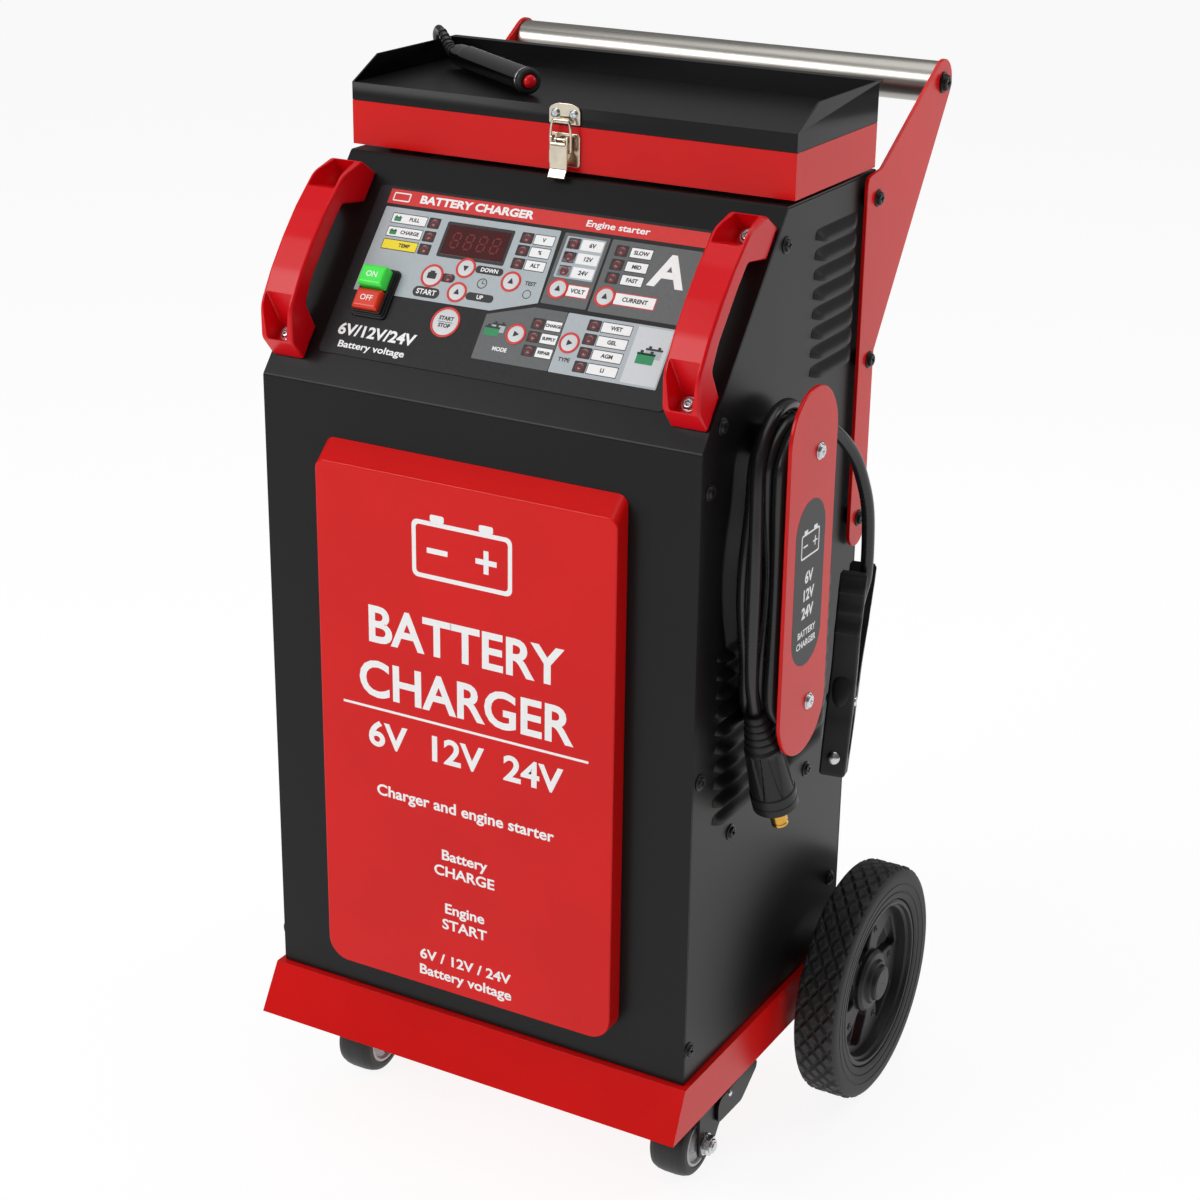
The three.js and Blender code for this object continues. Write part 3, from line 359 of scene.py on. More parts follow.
def moved(mesh, matrix):
    """The mesh after a move; a mirroring move turns its faces round."""
    mesh.transform(matrix)
    if matrix.determinant() < 0:
        mesh.flip_normals()
    return mesh


def bevelled(mesh, width, segments=2, angle=30):
    obj = bpy.data.objects.new("work", mesh)
    edge = obj.modifiers.new("edge", "BEVEL")
    edge.width, edge.segments, edge.limit_method = width, segments, "ANGLE"
    edge.angle_limit = math.radians(angle)
    return evaluated(obj)


def carved(mesh, *cutters):
    """The mesh less each cutter."""
    for cutter in cutters:
        tool = bpy.data.objects.new("cutter", cutter)
        scene.collection.objects.link(tool)
        obj = bpy.data.objects.new("work", mesh)
        cut = obj.modifiers.new("cut", "BOOLEAN")
        cut.operation, cut.object, cut.solver = "DIFFERENCE", tool, "EXACT"
        mesh = evaluated(obj)
        trashed(tool)
    return mesh


def fillet(points, radius=0.0, steps=4, closed=True):
    """A 2D outline with its corners rounded; a point may carry its own radius."""
    out = []
    count = len(points)
    for i, point in enumerate(points):
        here = Vector(point[:2])
        r = point[2] if len(point) > 2 else radius
        if r <= 0 or (not closed and i in (0, count - 1)):
            out.append(tuple(here))
            continue
        before = Vector(points[i - 1][:2]) - here
        after = Vector(points[(i + 1) % count][:2]) - here
        half = before.angle(after) / 2
        if half > 1.55 or half < 0.02:
            out.append(tuple(here))
            continue
        back = min(r / math.tan(half), 0.49 * before.length, 0.49 * after.length)
        before.normalize()
        after.normalize()
        centre = here + (before + after).normalized() * (back / math.cos(half))
        start, end = here + before * back - centre, here + after * back - centre
        turn = math.atan2(start.x * end.y - start.y * end.x, start.dot(end))
        for k in range(steps + 1):
            c, s = math.cos(turn * k / steps), math.sin(turn * k / steps)
            out.append((centre.x + start.x * c - start.y * s, centre.y + start.x * s + start.y * c))
    return out


def rectangle(u0, u1, v0, v1, r=0.0, steps=4):
    return fillet([(u0, v0), (u1, v0), (u1, v1), (u0, v1)], r, steps)


def circle(u, v, r, sides=32, squash=1.0):
    turn = 2 * math.pi / sides
    return [(u + r * math.cos(k * turn), v + squash * r * math.sin(k * turn)) for k in range(sides)]


def plus_sign(u, v, arm, half):
    """The outline of a plus sign: how far its arms reach and half their thickness."""
    out = []
    x, y = [arm, arm, half], [-half, half, half]
    for _ in range(4):
        out += [(u + a, v + b) for a, b in zip(x, y)]
        x, y = [-b for b in y], x
    return out


AXES = {
    "x": FACE_RIGHT,
    "y": Matrix(((1, 0, 0, 0), (0, 0, 1, 0), (0, 1, 0, 0), (0, 0, 0, 1))),
    "z": Matrix.Identity(4),
}


def plate(loops, axis, a, b, bevel=0.3, segments=2):
    """A flat piece with rounded edges: an outline and holes, from a to b along the axis."""
    curve = bpy.data.curves.new("plate", "CURVE")
    curve.dimensions, curve.fill_mode = "2D", "BOTH"
    for loop in loops:
        spline = curve.splines.new("POLY")
        spline.points.add(len(loop) - 1)
        for point, (u, v) in zip(spline.points, loop):
            point.co = (u, v, 0, 1)
        spline.use_cyclic_u = True
    curve.extrude = (b - a) / 2 - bevel
    curve.bevel_depth, curve.offset, curve.bevel_resolution = bevel, -bevel, segments
    mesh = evaluated(bpy.data.objects.new("plate", curve))
    return cleaned(mesh, AXES[axis] @ at(0, 0, (a + b) / 2), 0.0005)


def block(x0, x1, y0, y1, z0, z1, edge):
    return plate([rectangle(x0, x1, y0, y1, edge)], "z", z0, z1, edge)


def stitched(rings, closed=False):
    """A mesh through rings of points; a ring of one point closes to a tip."""
    bm = bmesh.new()
    made = [[bm.verts.new(p) for p in ring] for ring in rings]
    pairs = list(zip(made, made[1:])) + ([(made[-1], made[0])] if closed else [])
    for a, b in pairs:
        n = max(len(a), len(b))
        for k in range(n):
            j = (k + 1) % n
            corners = [a[k % len(a)], a[j % len(a)], b[j % len(b)], b[k % len(b)]]
            unique = list(dict.fromkeys(corners))
            if len(unique) > 2:
                bm.faces.new(unique)
    if not closed:
        for ring in (made[0], made[-1]):
            if len(ring) > 2:
                bm.faces.new(ring)
    bmesh.ops.recalc_face_normals(bm, faces=bm.faces)
    mesh = bpy.data.meshes.new("stitched")
    bm.to_mesh(mesh)
    bm.free()
    return mesh


def turned(profile, axis, centre=(0, 0), sides=64, closed=False, shape=None):
    """A turned piece from (radius, along) pairs; shape(angle, along, r) may change a radius."""
    base = {"x": 0, "y": 1, "z": 2}[axis]
    rings = []
    for r, along in profile:
        ring = []
        for k in range(1 if r < 1e-3 else sides):
            angle = 2 * math.pi * k / sides
            radius = shape(angle, along, r) if shape else r
            u, v = centre[0] + radius * math.cos(angle), centre[1] + radius * math.sin(angle)
            point = [u, v]
            point.insert(base, along)
            ring.append(point)
        rings.append(ring)
    return stitched(rings, closed)


def rod(r, a, b):
    """The profile of a plain cylinder from a to b."""
    return [(0, a), (r, a), (r, b), (0, b)]


def rounded_turn(profile, axis, centre=(0, 0), r=0.6, sides=64, steps=3, closed=False):
    return turned(fillet(profile, r, steps, closed), axis, centre, sides, closed)


def smooth_path(points, per=8):
    """Points along a smooth curve through the given ones."""
    p = [Vector(q) for q in points]
    p = [p[0] * 2 - p[1], *p, p[-1] * 2 - p[-2]]
    out = []
    for i in range(1, len(p) - 2):
        for k in range(per):
            t = k / per
            a, b, c, d = p[i - 1 : i + 3]
            out.append(
                0.5 * (2 * b + (c - a) * t + (2 * a - 5 * b + 4 * c - d) * t**2)
                + 0.5 * (3 * b - a - 3 * c + d) * t**3
            )
    return [*out, p[-2]]


def pipe(path, radius, sides):
    """A round tube along a path; radius is one number or one for each point."""
    last = len(path) - 1
    rings = []
    normal = None
    for i, point in enumerate(path):
        tangent = (path[min(i + 1, last)] - path[max(i - 1, 0)]).normalized()
        if normal is None:
            normal = tangent.orthogonal().normalized()
        normal = (normal - tangent * normal.dot(tangent)).normalized()
        side = tangent.cross(normal)
        r = radius if isinstance(radius, (int, float)) else radius[i]
        ring = []
        for k in range(sides):
            angle = 2 * math.pi * k / sides
            ring.append(point + (normal * math.cos(angle) + side * math.sin(angle)) * r)
        rings.append(ring)
    return stitched(rings)


CAP_OF_FONT = 0.73  # height of a capital in a font of size 1


def words(text, cap, u, v, w, bold=0.0, wide=1.0):
    """Lettering with capitals of that height in the plane z = w."""
    curve = bpy.data.curves.new("words", "FONT")
    curve.body, curve.size = text, cap / CAP_OF_FONT
    curve.align_x = curve.align_y = "CENTER"
    curve.offset, curve.extrude, curve.resolution_u = bold, 0.012, 4
    mesh = evaluated(bpy.data.objects.new("words", curve))
    return cleaned(mesh, at(u, v, w) @ Matrix.Diagonal((wide, 1, 1, 1)), 0.0005)


def sheet_ink(loops, w, thick=0.03):
    """A printed area in the plane z = w."""
    return plate(loops, "z", w, w + thick, 0.0)


SHARP = math.radians(38)


def smoothstep(t):
    t = max(0.0, min(1.0, t))
    return t * t * (3 - 2 * t)


def piece(name, body, parts, replaces=(), place=None, weight=True):
    """Joins (mesh, material) parts into one piece that rides on a body."""
    bm = bmesh.new()
    materials = []
    for mesh, material in parts:
        if material not in materials:
            materials.append(material)
        first = len(bm.faces)
        bm.from_mesh(mesh)
        bm.faces.ensure_lookup_table()
        for face in bm.faces[first:]:
            face.material_index = materials.index(material)
            face.smooth = True
        bpy.data.meshes.remove(mesh)
    mesh = bpy.data.meshes.new(name)
    bm.to_mesh(mesh)
    bm.free()
    moved(mesh, PART @ (place or Matrix.Identity(4)))
    for material in materials:
        mesh.materials.append(material)
    mesh.set_sharp_from_angle(angle=SHARP)
    obj = bpy.data.objects.new(name, mesh)
    scene.collection.objects.link(obj)
    if weight:
        obj.modifiers.new("even_normals", "WEIGHTED_NORMAL").keep_sharp = True
    if body:
        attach(obj, body)
    if replaces:
        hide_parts(*replaces)
    return obj


def node_mesh(node):
    """A copy of a CAD node's mesh in the cabinet's millimetres, its flat faces whole."""
    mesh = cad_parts[node].data.copy()
    mesh.materials.clear()
    bm = bmesh.new()
    bm.from_mesh(mesh)
    bm.transform(PART.inverted())
    bmesh.ops.remove_doubles(bm, verts=bm.verts, dist=0.002)
    bmesh.ops.dissolve_limit(bm, angle_limit=math.radians(0.6), verts=bm.verts, edges=bm.edges)
    bm.to_mesh(mesh)
    bm.free()
    return mesh


def refined(node, body, material, width, segments=2, angle=35, extra=()):
    """A CAD node again with its edges rounded, and extra parts on it."""
    mesh = bevelled(node_mesh(node), width, segments, angle)
    return piece(node + "_shape", body, [(mesh, material), *extra], [node])


def screw(head=4.6, height=3.0, flange=6.4, drive=2.6, cross=0.55, depth=1.5, sides=32):
    """A cross-head screw's head on the plane z = 0, facing +z."""
    profile = [(0, height), (0.3, height)]
    steps = 9
    profile += [(0.3 + (drive + 0.5) * k / steps, height) for k in range(1, steps + 1)]
    profile += [
        (head - 0.7, height - 0.15),
        (head - 0.2, height - 0.6),
        (head, height - 1.2),
        (head + 0.15, 1.2),
        (flange - 0.4, 0.95),
        (flange, 0.6),
        (flange, 0),
        (0, 0),
    ]

    def arm(u, v):
        return smoothstep((cross - abs(v)) / 0.25 + 0.5) * smoothstep((drive - abs(u)) / 0.4 + 0.5)

    rings = []
    for i, (r, z) in enumerate(profile):
        ring = []
        for k in range(1 if r == 0 else sides):
            u, v = r * math.cos(2 * math.pi * k / sides), r * math.sin(2 * math.pi * k / sides)
            sunk = depth * max(arm(u, v), arm(v, u)) if i < steps + 3 else 0
            ring.append((u, v, z - sunk))
        rings.append(ring)
    return stitched(rings)


def dome(radius, height, base=0.6, sides=40):
    """A plain domed head facing +z."""
    steps = 7
    arc = [
        (
            radius * math.sin(math.pi / 2 * k / steps),
            base + height * math.cos(math.pi / 2 * k / steps)
        )
        for k in range(steps + 1)
    ]
    return turned([*arc, (radius, 0), (0, 0)], "z", sides=sides)


def hexagon(across, a, b, edge=0.4):
    r = across / math.sqrt(3)
    return plate([fillet(circle(0, 0, r, 6), 0.5, 2)], "z", a, b, edge)


# ------------------------------------------------------------------ cords
LEAD_R = 5.0
CORD_R = 3.0
LEAD_FROM_PLUG = [
    (205, 58, 419.5),
    (205.4, 53, 432),
    (206.2, 47.8, 446),
    (207.2, 43.8, 466),
    (208, 41.6, 492),
    (208, 41.6, 520),
    (207, 43.4, 548),
    (205, 46.8, 575),
]
LEAD_TO_CLAMP = [
    (206, 121.5, 625.2),
    (206, 136, 620.5),
    (208, 146, 615.5),
    (211, 159, 607.5),
    (215, 172, 596),
    (219, 184, 580.5),
    (222, 193, 561),
    (224, 200, 540),
    (224.4, 204, 515),
    (224.3, 204.5, 483.3),
]
TURN_Y, TURN_LOW, TURN_HIGH, TURN_R = 95.0, 436.5, 595.0, 35.0
LEAD_IN_CLAMP = [(5, 11, 20), (2.5, 9.5, 40), (0, 6.5, 66)]
CORD_UPPER = [
    (-105.1, 192.3, 836.6),
    (-130, 208.9, 836.6),
    (-150, 222.3, 836.6),
    (-158, 227.8, 836.9),
    (-166, 233, 838.8),
    (-173, 238, 843.6),
    (-180.2, 242.8, 849.2),
    (-182.2, 244.2, 850.6),
    (-187.5, 248.2, 851),
    (-192.6, 253, 845),
    (-194, 259, 832),
    (-194, 265, 820),
    (-194, 269.5, 812.8),
]
CORD_LOWER = [
    (-194.3, 273, 798),
    (-194.6, 280, 775),
    (-194.6, 286, 745),
    (-194.6, 291, 700),
    (-194.4, 297, 655),
    (-190, 304, 610),
    (-178, 312, 540),
    (-164, 319, 450),
    (-155, 323, 340),
    (-150, 324, 230),
    (-148, 324, 140),
    (-145, 324, 84),
    (-131, 323, 50),
    (-108, 322, 50),
    (-93, 321, 84),
    (-89, 321, 140),
    (-88, 321, 260),
    (-89, 322, 400),
    (-92, 323, 540),
    (-96, 325, 640),
    (-99, 325, 685),
    (-100, 320, 708),
    (-100, 309, 719),
    (-100, 297.6, 720),
]


def in_metres(path):
    return [tuple(in_part(p)) for p in path]


def bend(x0, x1, angles, z, r=TURN_R):
    """Points of a bend round a post, one for each angle."""
    out = []
    for k, angle in enumerate(angles):
        turn = math.radians(angle)
        x = x0 + (x1 - x0) * k / (len(angles) - 1)
        out.append((x, TURN_Y + r * math.cos(turn), z + r * math.sin(turn)))
    return out


def strand(x0, x1, y0, y1, middle, rising):
    """Points of a slack length between two bends; middle is its y halfway."""
    out = []
    for k in range(-3, 4):
        t = k / 4
        y_end = y0 if t < 0 else y1
        y = middle + (y_end - middle) * (0.5 - 0.5 * math.cos(math.pi * t))
        along = 0.5 + t / 2 if rising else 0.5 - t / 2
        out.append((x0 + (x1 - x0) * (0.5 + t / 2), y, TURN_LOW + (TURN_HIGH - TURN_LOW) * along))
    return out


def lead_route():
    """Up from the plug, three turns round the posts, then over the top into the clamp."""
    over, under = range(170, 0, -20), range(-10, -180, -20)
    front, back = TURN_Y - TURN_R, TURN_Y + TURN_R
    inner, centre, outer = 195.5, 205.8, 216.0
    return [
        *LEAD_FROM_PLUG,
        *bend(203, inner, over, TURN_HIGH, TURN_R + 10),
        *strand(inner, inner, back + 10, back, 134, False),
        *bend(inner, inner, under, TURN_LOW),
        *strand(inner, inner, front, front, 50, True),
        *bend(inner, inner, over, TURN_HIGH),
        *strand(inner, outer, back, back, 116, False),
        *bend(outer, outer, under, TURN_LOW),
        *strand(outer, outer, front, front, 61, True),
        *bend(outer, outer, over, TURN_HIGH),
        *strand(outer, centre, back, back, 128, False),
        *bend(centre, centre, under, TURN_LOW),
        *strand(centre, centre, front, front, 70, True),
        *bend(centre, centre, range(170, 60, -20), TURN_HIGH),
        *LEAD_TO_CLAMP,
        *[clamp_matrix() @ Vector(p) for p in LEAD_IN_CLAMP],
    ]


def make_lead():
    path = smooth_path(lead_route(), 4)
    return piece(
        "output_lead",
        "cabinet",
        [(pipe(path, LEAD_R, 20), CABLE)],
        ["lead_winding", "lead_plug_tail", "lead_clamp_tail"],
        weight=False,
    ), in_metres(path)


def make_switch_cord():
    path = smooth_path([*CORD_UPPER, *CORD_LOWER], 7)
    cord = piece(
        "hand_switch_cord",
        None,
        [(pipe(path, CORD_R, 14), CABLE)],
        ["handset_lead_upper", "handset_lead_lower"],
        weight=False,
    )
    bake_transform(cord)
    return cord, in_metres(path)


# ------------------------------------------------------------------ cabinet
FAN_Z = 520
SIDE_SCREWS = [
    (120.1, 749.4),
    (29.2, 640.7),
    (13.1, 597.8),
    (11.2, 376.9),
    (65, 313.5),
    (198.1, 311.1),
    (6.6, 155.2),
    (256.7, 187),
]
UPPER_LOUVRES = (8, 14.6, 169, 243, 638)
LOWER_LOUVRES = (10, 14.5, 33, 229, 329.5)
LOUVRE_RISE = 11.0
LOUVRE_PROUD = 4.0


def louvre_rows():
    for rows, pitch, y0, y1, z in (UPPER_LOUVRES, LOWER_LOUVRES):
        for row in range(rows):
            yield y0, y1, z + row * pitch


def louvre(y0, y1, bottom):
    """A pressed hood with drop-shaped ends, open along its lower edge."""
    across, down = 44, 10
    end, taper = 15.0, 3.4
    outer, inner = [], []
    for j in range(down + 1):
        v = j / down
        shift = taper * (1 - v) ** 1.5
        row_out, row_in = [], []
        for i in range(across + 1):
            u = i / across
            u = 0.5 - 0.5 * math.cos(math.pi * u)
            y = y0 + shift + (y1 - y0 - 2 * shift) * u
            near = min(y - y0, y1 - y) / end
            envelope = math.sin(math.pi / 2 * min(1.0, max(0.0, near))) ** 0.8
            proud = LOUVRE_PROUD * envelope * math.sin(math.pi / 2 * v) ** 1.35
            z = bottom + LOUVRE_RISE * (1 - v) + (1 - envelope) * 3.5 * v
            row_out.append((HALF_W - 0.15 + proud, y, z))
            row_in.append((HALF_W - 0.9 + proud * 0.97, y, z))
        outer.append(row_out)
        inner.append(row_in)
    bm = bmesh.new()
    sheets = [[[bm.verts.new(p) for p in row] for row in grid] for grid in (outer, inner)]
    for grid in sheets:
        for a, b in zip(grid, grid[1:]):
            for i in range(across):
                bm.faces.new((a[i], a[i + 1], b[i + 1], b[i]))
    top, low = sheets
    for k in (0, -1):
        for i in range(across):
            bm.faces.new((top[k][i], top[k][i + 1], low[k][i + 1], low[k][i]))
        for j in range(down):
            bm.faces.new((top[j][k], top[j + 1][k], low[j + 1][k], low[j][k]))
    bmesh.ops.recalc_face_normals(bm, faces=bm.faces)
    mesh = bpy.data.meshes.new("louvre")
    bm.to_mesh(mesh)
    bm.free()
    return mesh


def make_cabinet():
    back = DEPTH - SHEET - GAP
    t = SHEET
    lean = (math.cos(SLOPE_ANGLE), math.sin(SLOPE_ANGLE))
    inner_bend = (t, BEND_Z + t * (1 - lean[1]) / lean[0] - 0.6 * t)
    outer_radius, inner_radius = 4.0, 2.5
    section = [
        (0, CAB_BOTTOM),
        (0, BEND_Z, outer_radius),
        (SLOPE_Y, CAB_TOP, outer_radius),
        (back - 0.3, CAB_TOP),
        (back - 0.3, CAB_TOP - t),
        (SLOPE_Y + 0.6, CAB_TOP - t, inner_radius),
        (inner_bend[0], inner_bend[1], inner_radius),
        (t, CAB_BOTTOM),
    ]
    front = plate([fillet(section, 0, 6)], "x", -HALF_W, HALF_W, 0.35, 2)
    piece("front_shell", "cabinet", [(front, BLACK_PAINT)], ["front_panel"])
    inset = 1.8
    side = [
        (inset, CAB_BOTTOM),
        (inset, BEND_Z - inset * lean[0] + 0.9),
        (SLOPE_Y + 0.9, CAB_TOP - inset),
        (back, CAB_TOP - inset),
        (back, CAB_BOTTOM),
    ]
    holes = [rectangle(y0 + 8, y1 - 8, z + 0.4, z + 5, 1) for y0, y1, z in louvre_rows()]
    shell = plate([fillet(side, 0.6, 2), *holes], "x", HALF_W - SHEET, HALF_W, 0.3, 1)
    hoods = [louvre(*row) for row in louvre_rows()]
    screws = [screw() for _ in SIDE_SCREWS]
    for head, (y, z) in zip(screws, SIDE_SCREWS):
        spin = Matrix.Rotation((y * 7.1 + z) % 1.5, 4, "Z")
        moved(head, at(HALF_W, y, z) @ FACE_RIGHT @ spin)
    for name, sign in SIDES:
        place = on_side(sign)
        parts = [(shell.copy(), BLACK_PAINT)]
        parts += [(hood.copy(), BLACK_PAINT) for hood in hoods]
        node = f"{name}_side_panel"
        piece(node + "_shape", "cabinet", parts, [node], place)
        heads = [(head.copy(), BLACK_ZINC) for head in screws]
        piece(f"{name}_side_screws", "cabinet", heads, (), place)
    slots = []
    fan_r = 52
    for z in range(FAN_Z - 45, FAN_Z + 46, 10):
        half = math.sqrt(fan_r**2 - (z - FAN_Z) ** 2)
        for a, b in ((-half, -2.5), (2.5, half)):
            slots.append(rectangle(a, b, z - 2.6, z + 2.6, 2.5))
    sheet = [
        fillet(
            [(-HALF_W, CAB_BOTTOM), (HALF_W, CAB_BOTTOM), (HALF_W, CAB_TOP), (-HALF_W, CAB_TOP)], 1
        )
    ]
    rear = plate([*sheet, *slots], "y", DEPTH - SHEET, DEPTH, 0.3, 1)
    heads = []
    for x in (-172, 0, 172):
        for z in (142, 450, 762):
            if x or z != 450:
                heads.append((moved(screw(), at(x, DEPTH, z) @ FACE_BACK), BLACK_ZINC))
    for x in (-52, 52):
        for z in (-52, 52):
            head = moved(screw(3.6, 2.4, 4.6, 2), at(x, DEPTH, FAN_Z + z) @ FACE_BACK)
            heads.append((head, BLACK_ZINC))
    piece("rear_shell", "cabinet", [(rear, BLACK_PAINT), *heads], ["rear_panel"])


def make_badge():
    half, bottom, top, bevel_z, proud = 128.7, 155.5, 589, 575, 15.5

    def outline(high, inset, y):
        corners = [
            (-half + inset, bottom + inset, 18 - inset),
            (half - inset, bottom + inset, 18 - inset),
            (half - inset, high - inset, 8 - inset),
            (-half + inset, high - inset, 8 - inset),
        ]
        return [(u, y, v) for u, v in fillet(corners, 0, 8)]

    rings = [outline(top, 0, -GAP), outline(bevel_z + 1.0, 0, -proud + 1.2)]
    for k in range(1, 4):
        angle = math.pi / 2 * k / 3
        inset = 1.2 * (1 - math.cos(angle))
        rings.append(
            outline(bevel_z + 1.0 - inset * 0.4, inset, -proud + 1.2 - 1.2 * math.sin(angle))
        )
    plate_mesh = stitched(rings)
    piece("front_badge_plate", "cabinet", [(plate_mesh, RED_PAINT)], ["front_badge"])
    ink = []
    place = at(0, -proud, 0) @ FACE_FRONT

    def put(mesh):
        ink.append((mesh, WHITE_INK))

    lift = 0.02
    frame_loops = [rectangle(-43, 43, 500, 545, 5), rectangle(-39.5, 39.5, 503.5, 541.5, 3)]
    put(sheet_ink(frame_loops, lift))
    put(sheet_ink([rectangle(-27, -15, 545, 550.5, 1.5)], lift))
    put(sheet_ink([rectangle(15, 27, 545, 550.5, 1.5)], lift))
    put(sheet_ink([rectangle(-30, -12, 520.2, 524.4, 0.4)], lift))
    put(sheet_ink([plus_sign(21, 522.3, 9, 2.1)], lift))
    put(words("BATTERY", 30, 0, 452, lift, bold=0.9))
    put(words("CHARGER", 30, 0, 407, lift, bold=0.9))
    put(sheet_ink([rectangle(-108, 108, 383.5, 385.5, 0.5)], lift))
    put(words("6V  12V  24V", 21, 0, 362, lift, bold=0.7, wide=1.1))
    put(words("Charger and engine starter", 9.4, 0, 316, lift, bold=0.3, wide=1.12))
    for high, low, z in (
        ("Battery", "CHARGE", 268), ("Engine", "START", 222),
        ("6V / 12V / 24V", "Battery voltage", 176)
    ):
        put(words(high, 8.8, 0, z + 7, lift, bold=0.28, wide=1.15))
        put(words(low, 8.8, 0, z - 7, lift, bold=0.28, wide=1.15))
    piece("front_badge_print", "cabinet", ink, (), place, weight=False)


# ------------------------------------------------------------------ control panel
DISPLAY = (-74.1, -20.5, 116.7, 141.1)
SWITCH = (-128.5, -98.5, 57.5, 97.5)
FILM_TOP = 0.9


def arrow(u, v, size, heading):
    turn = {"up": 90, "down": -90, "right": 0}[heading]
    return [
        (
            u + size * math.cos(math.radians(turn + k)),
            v + size * math.sin(math.radians(turn + k)),
        )
        for k in (0, 125, 235)
    ]


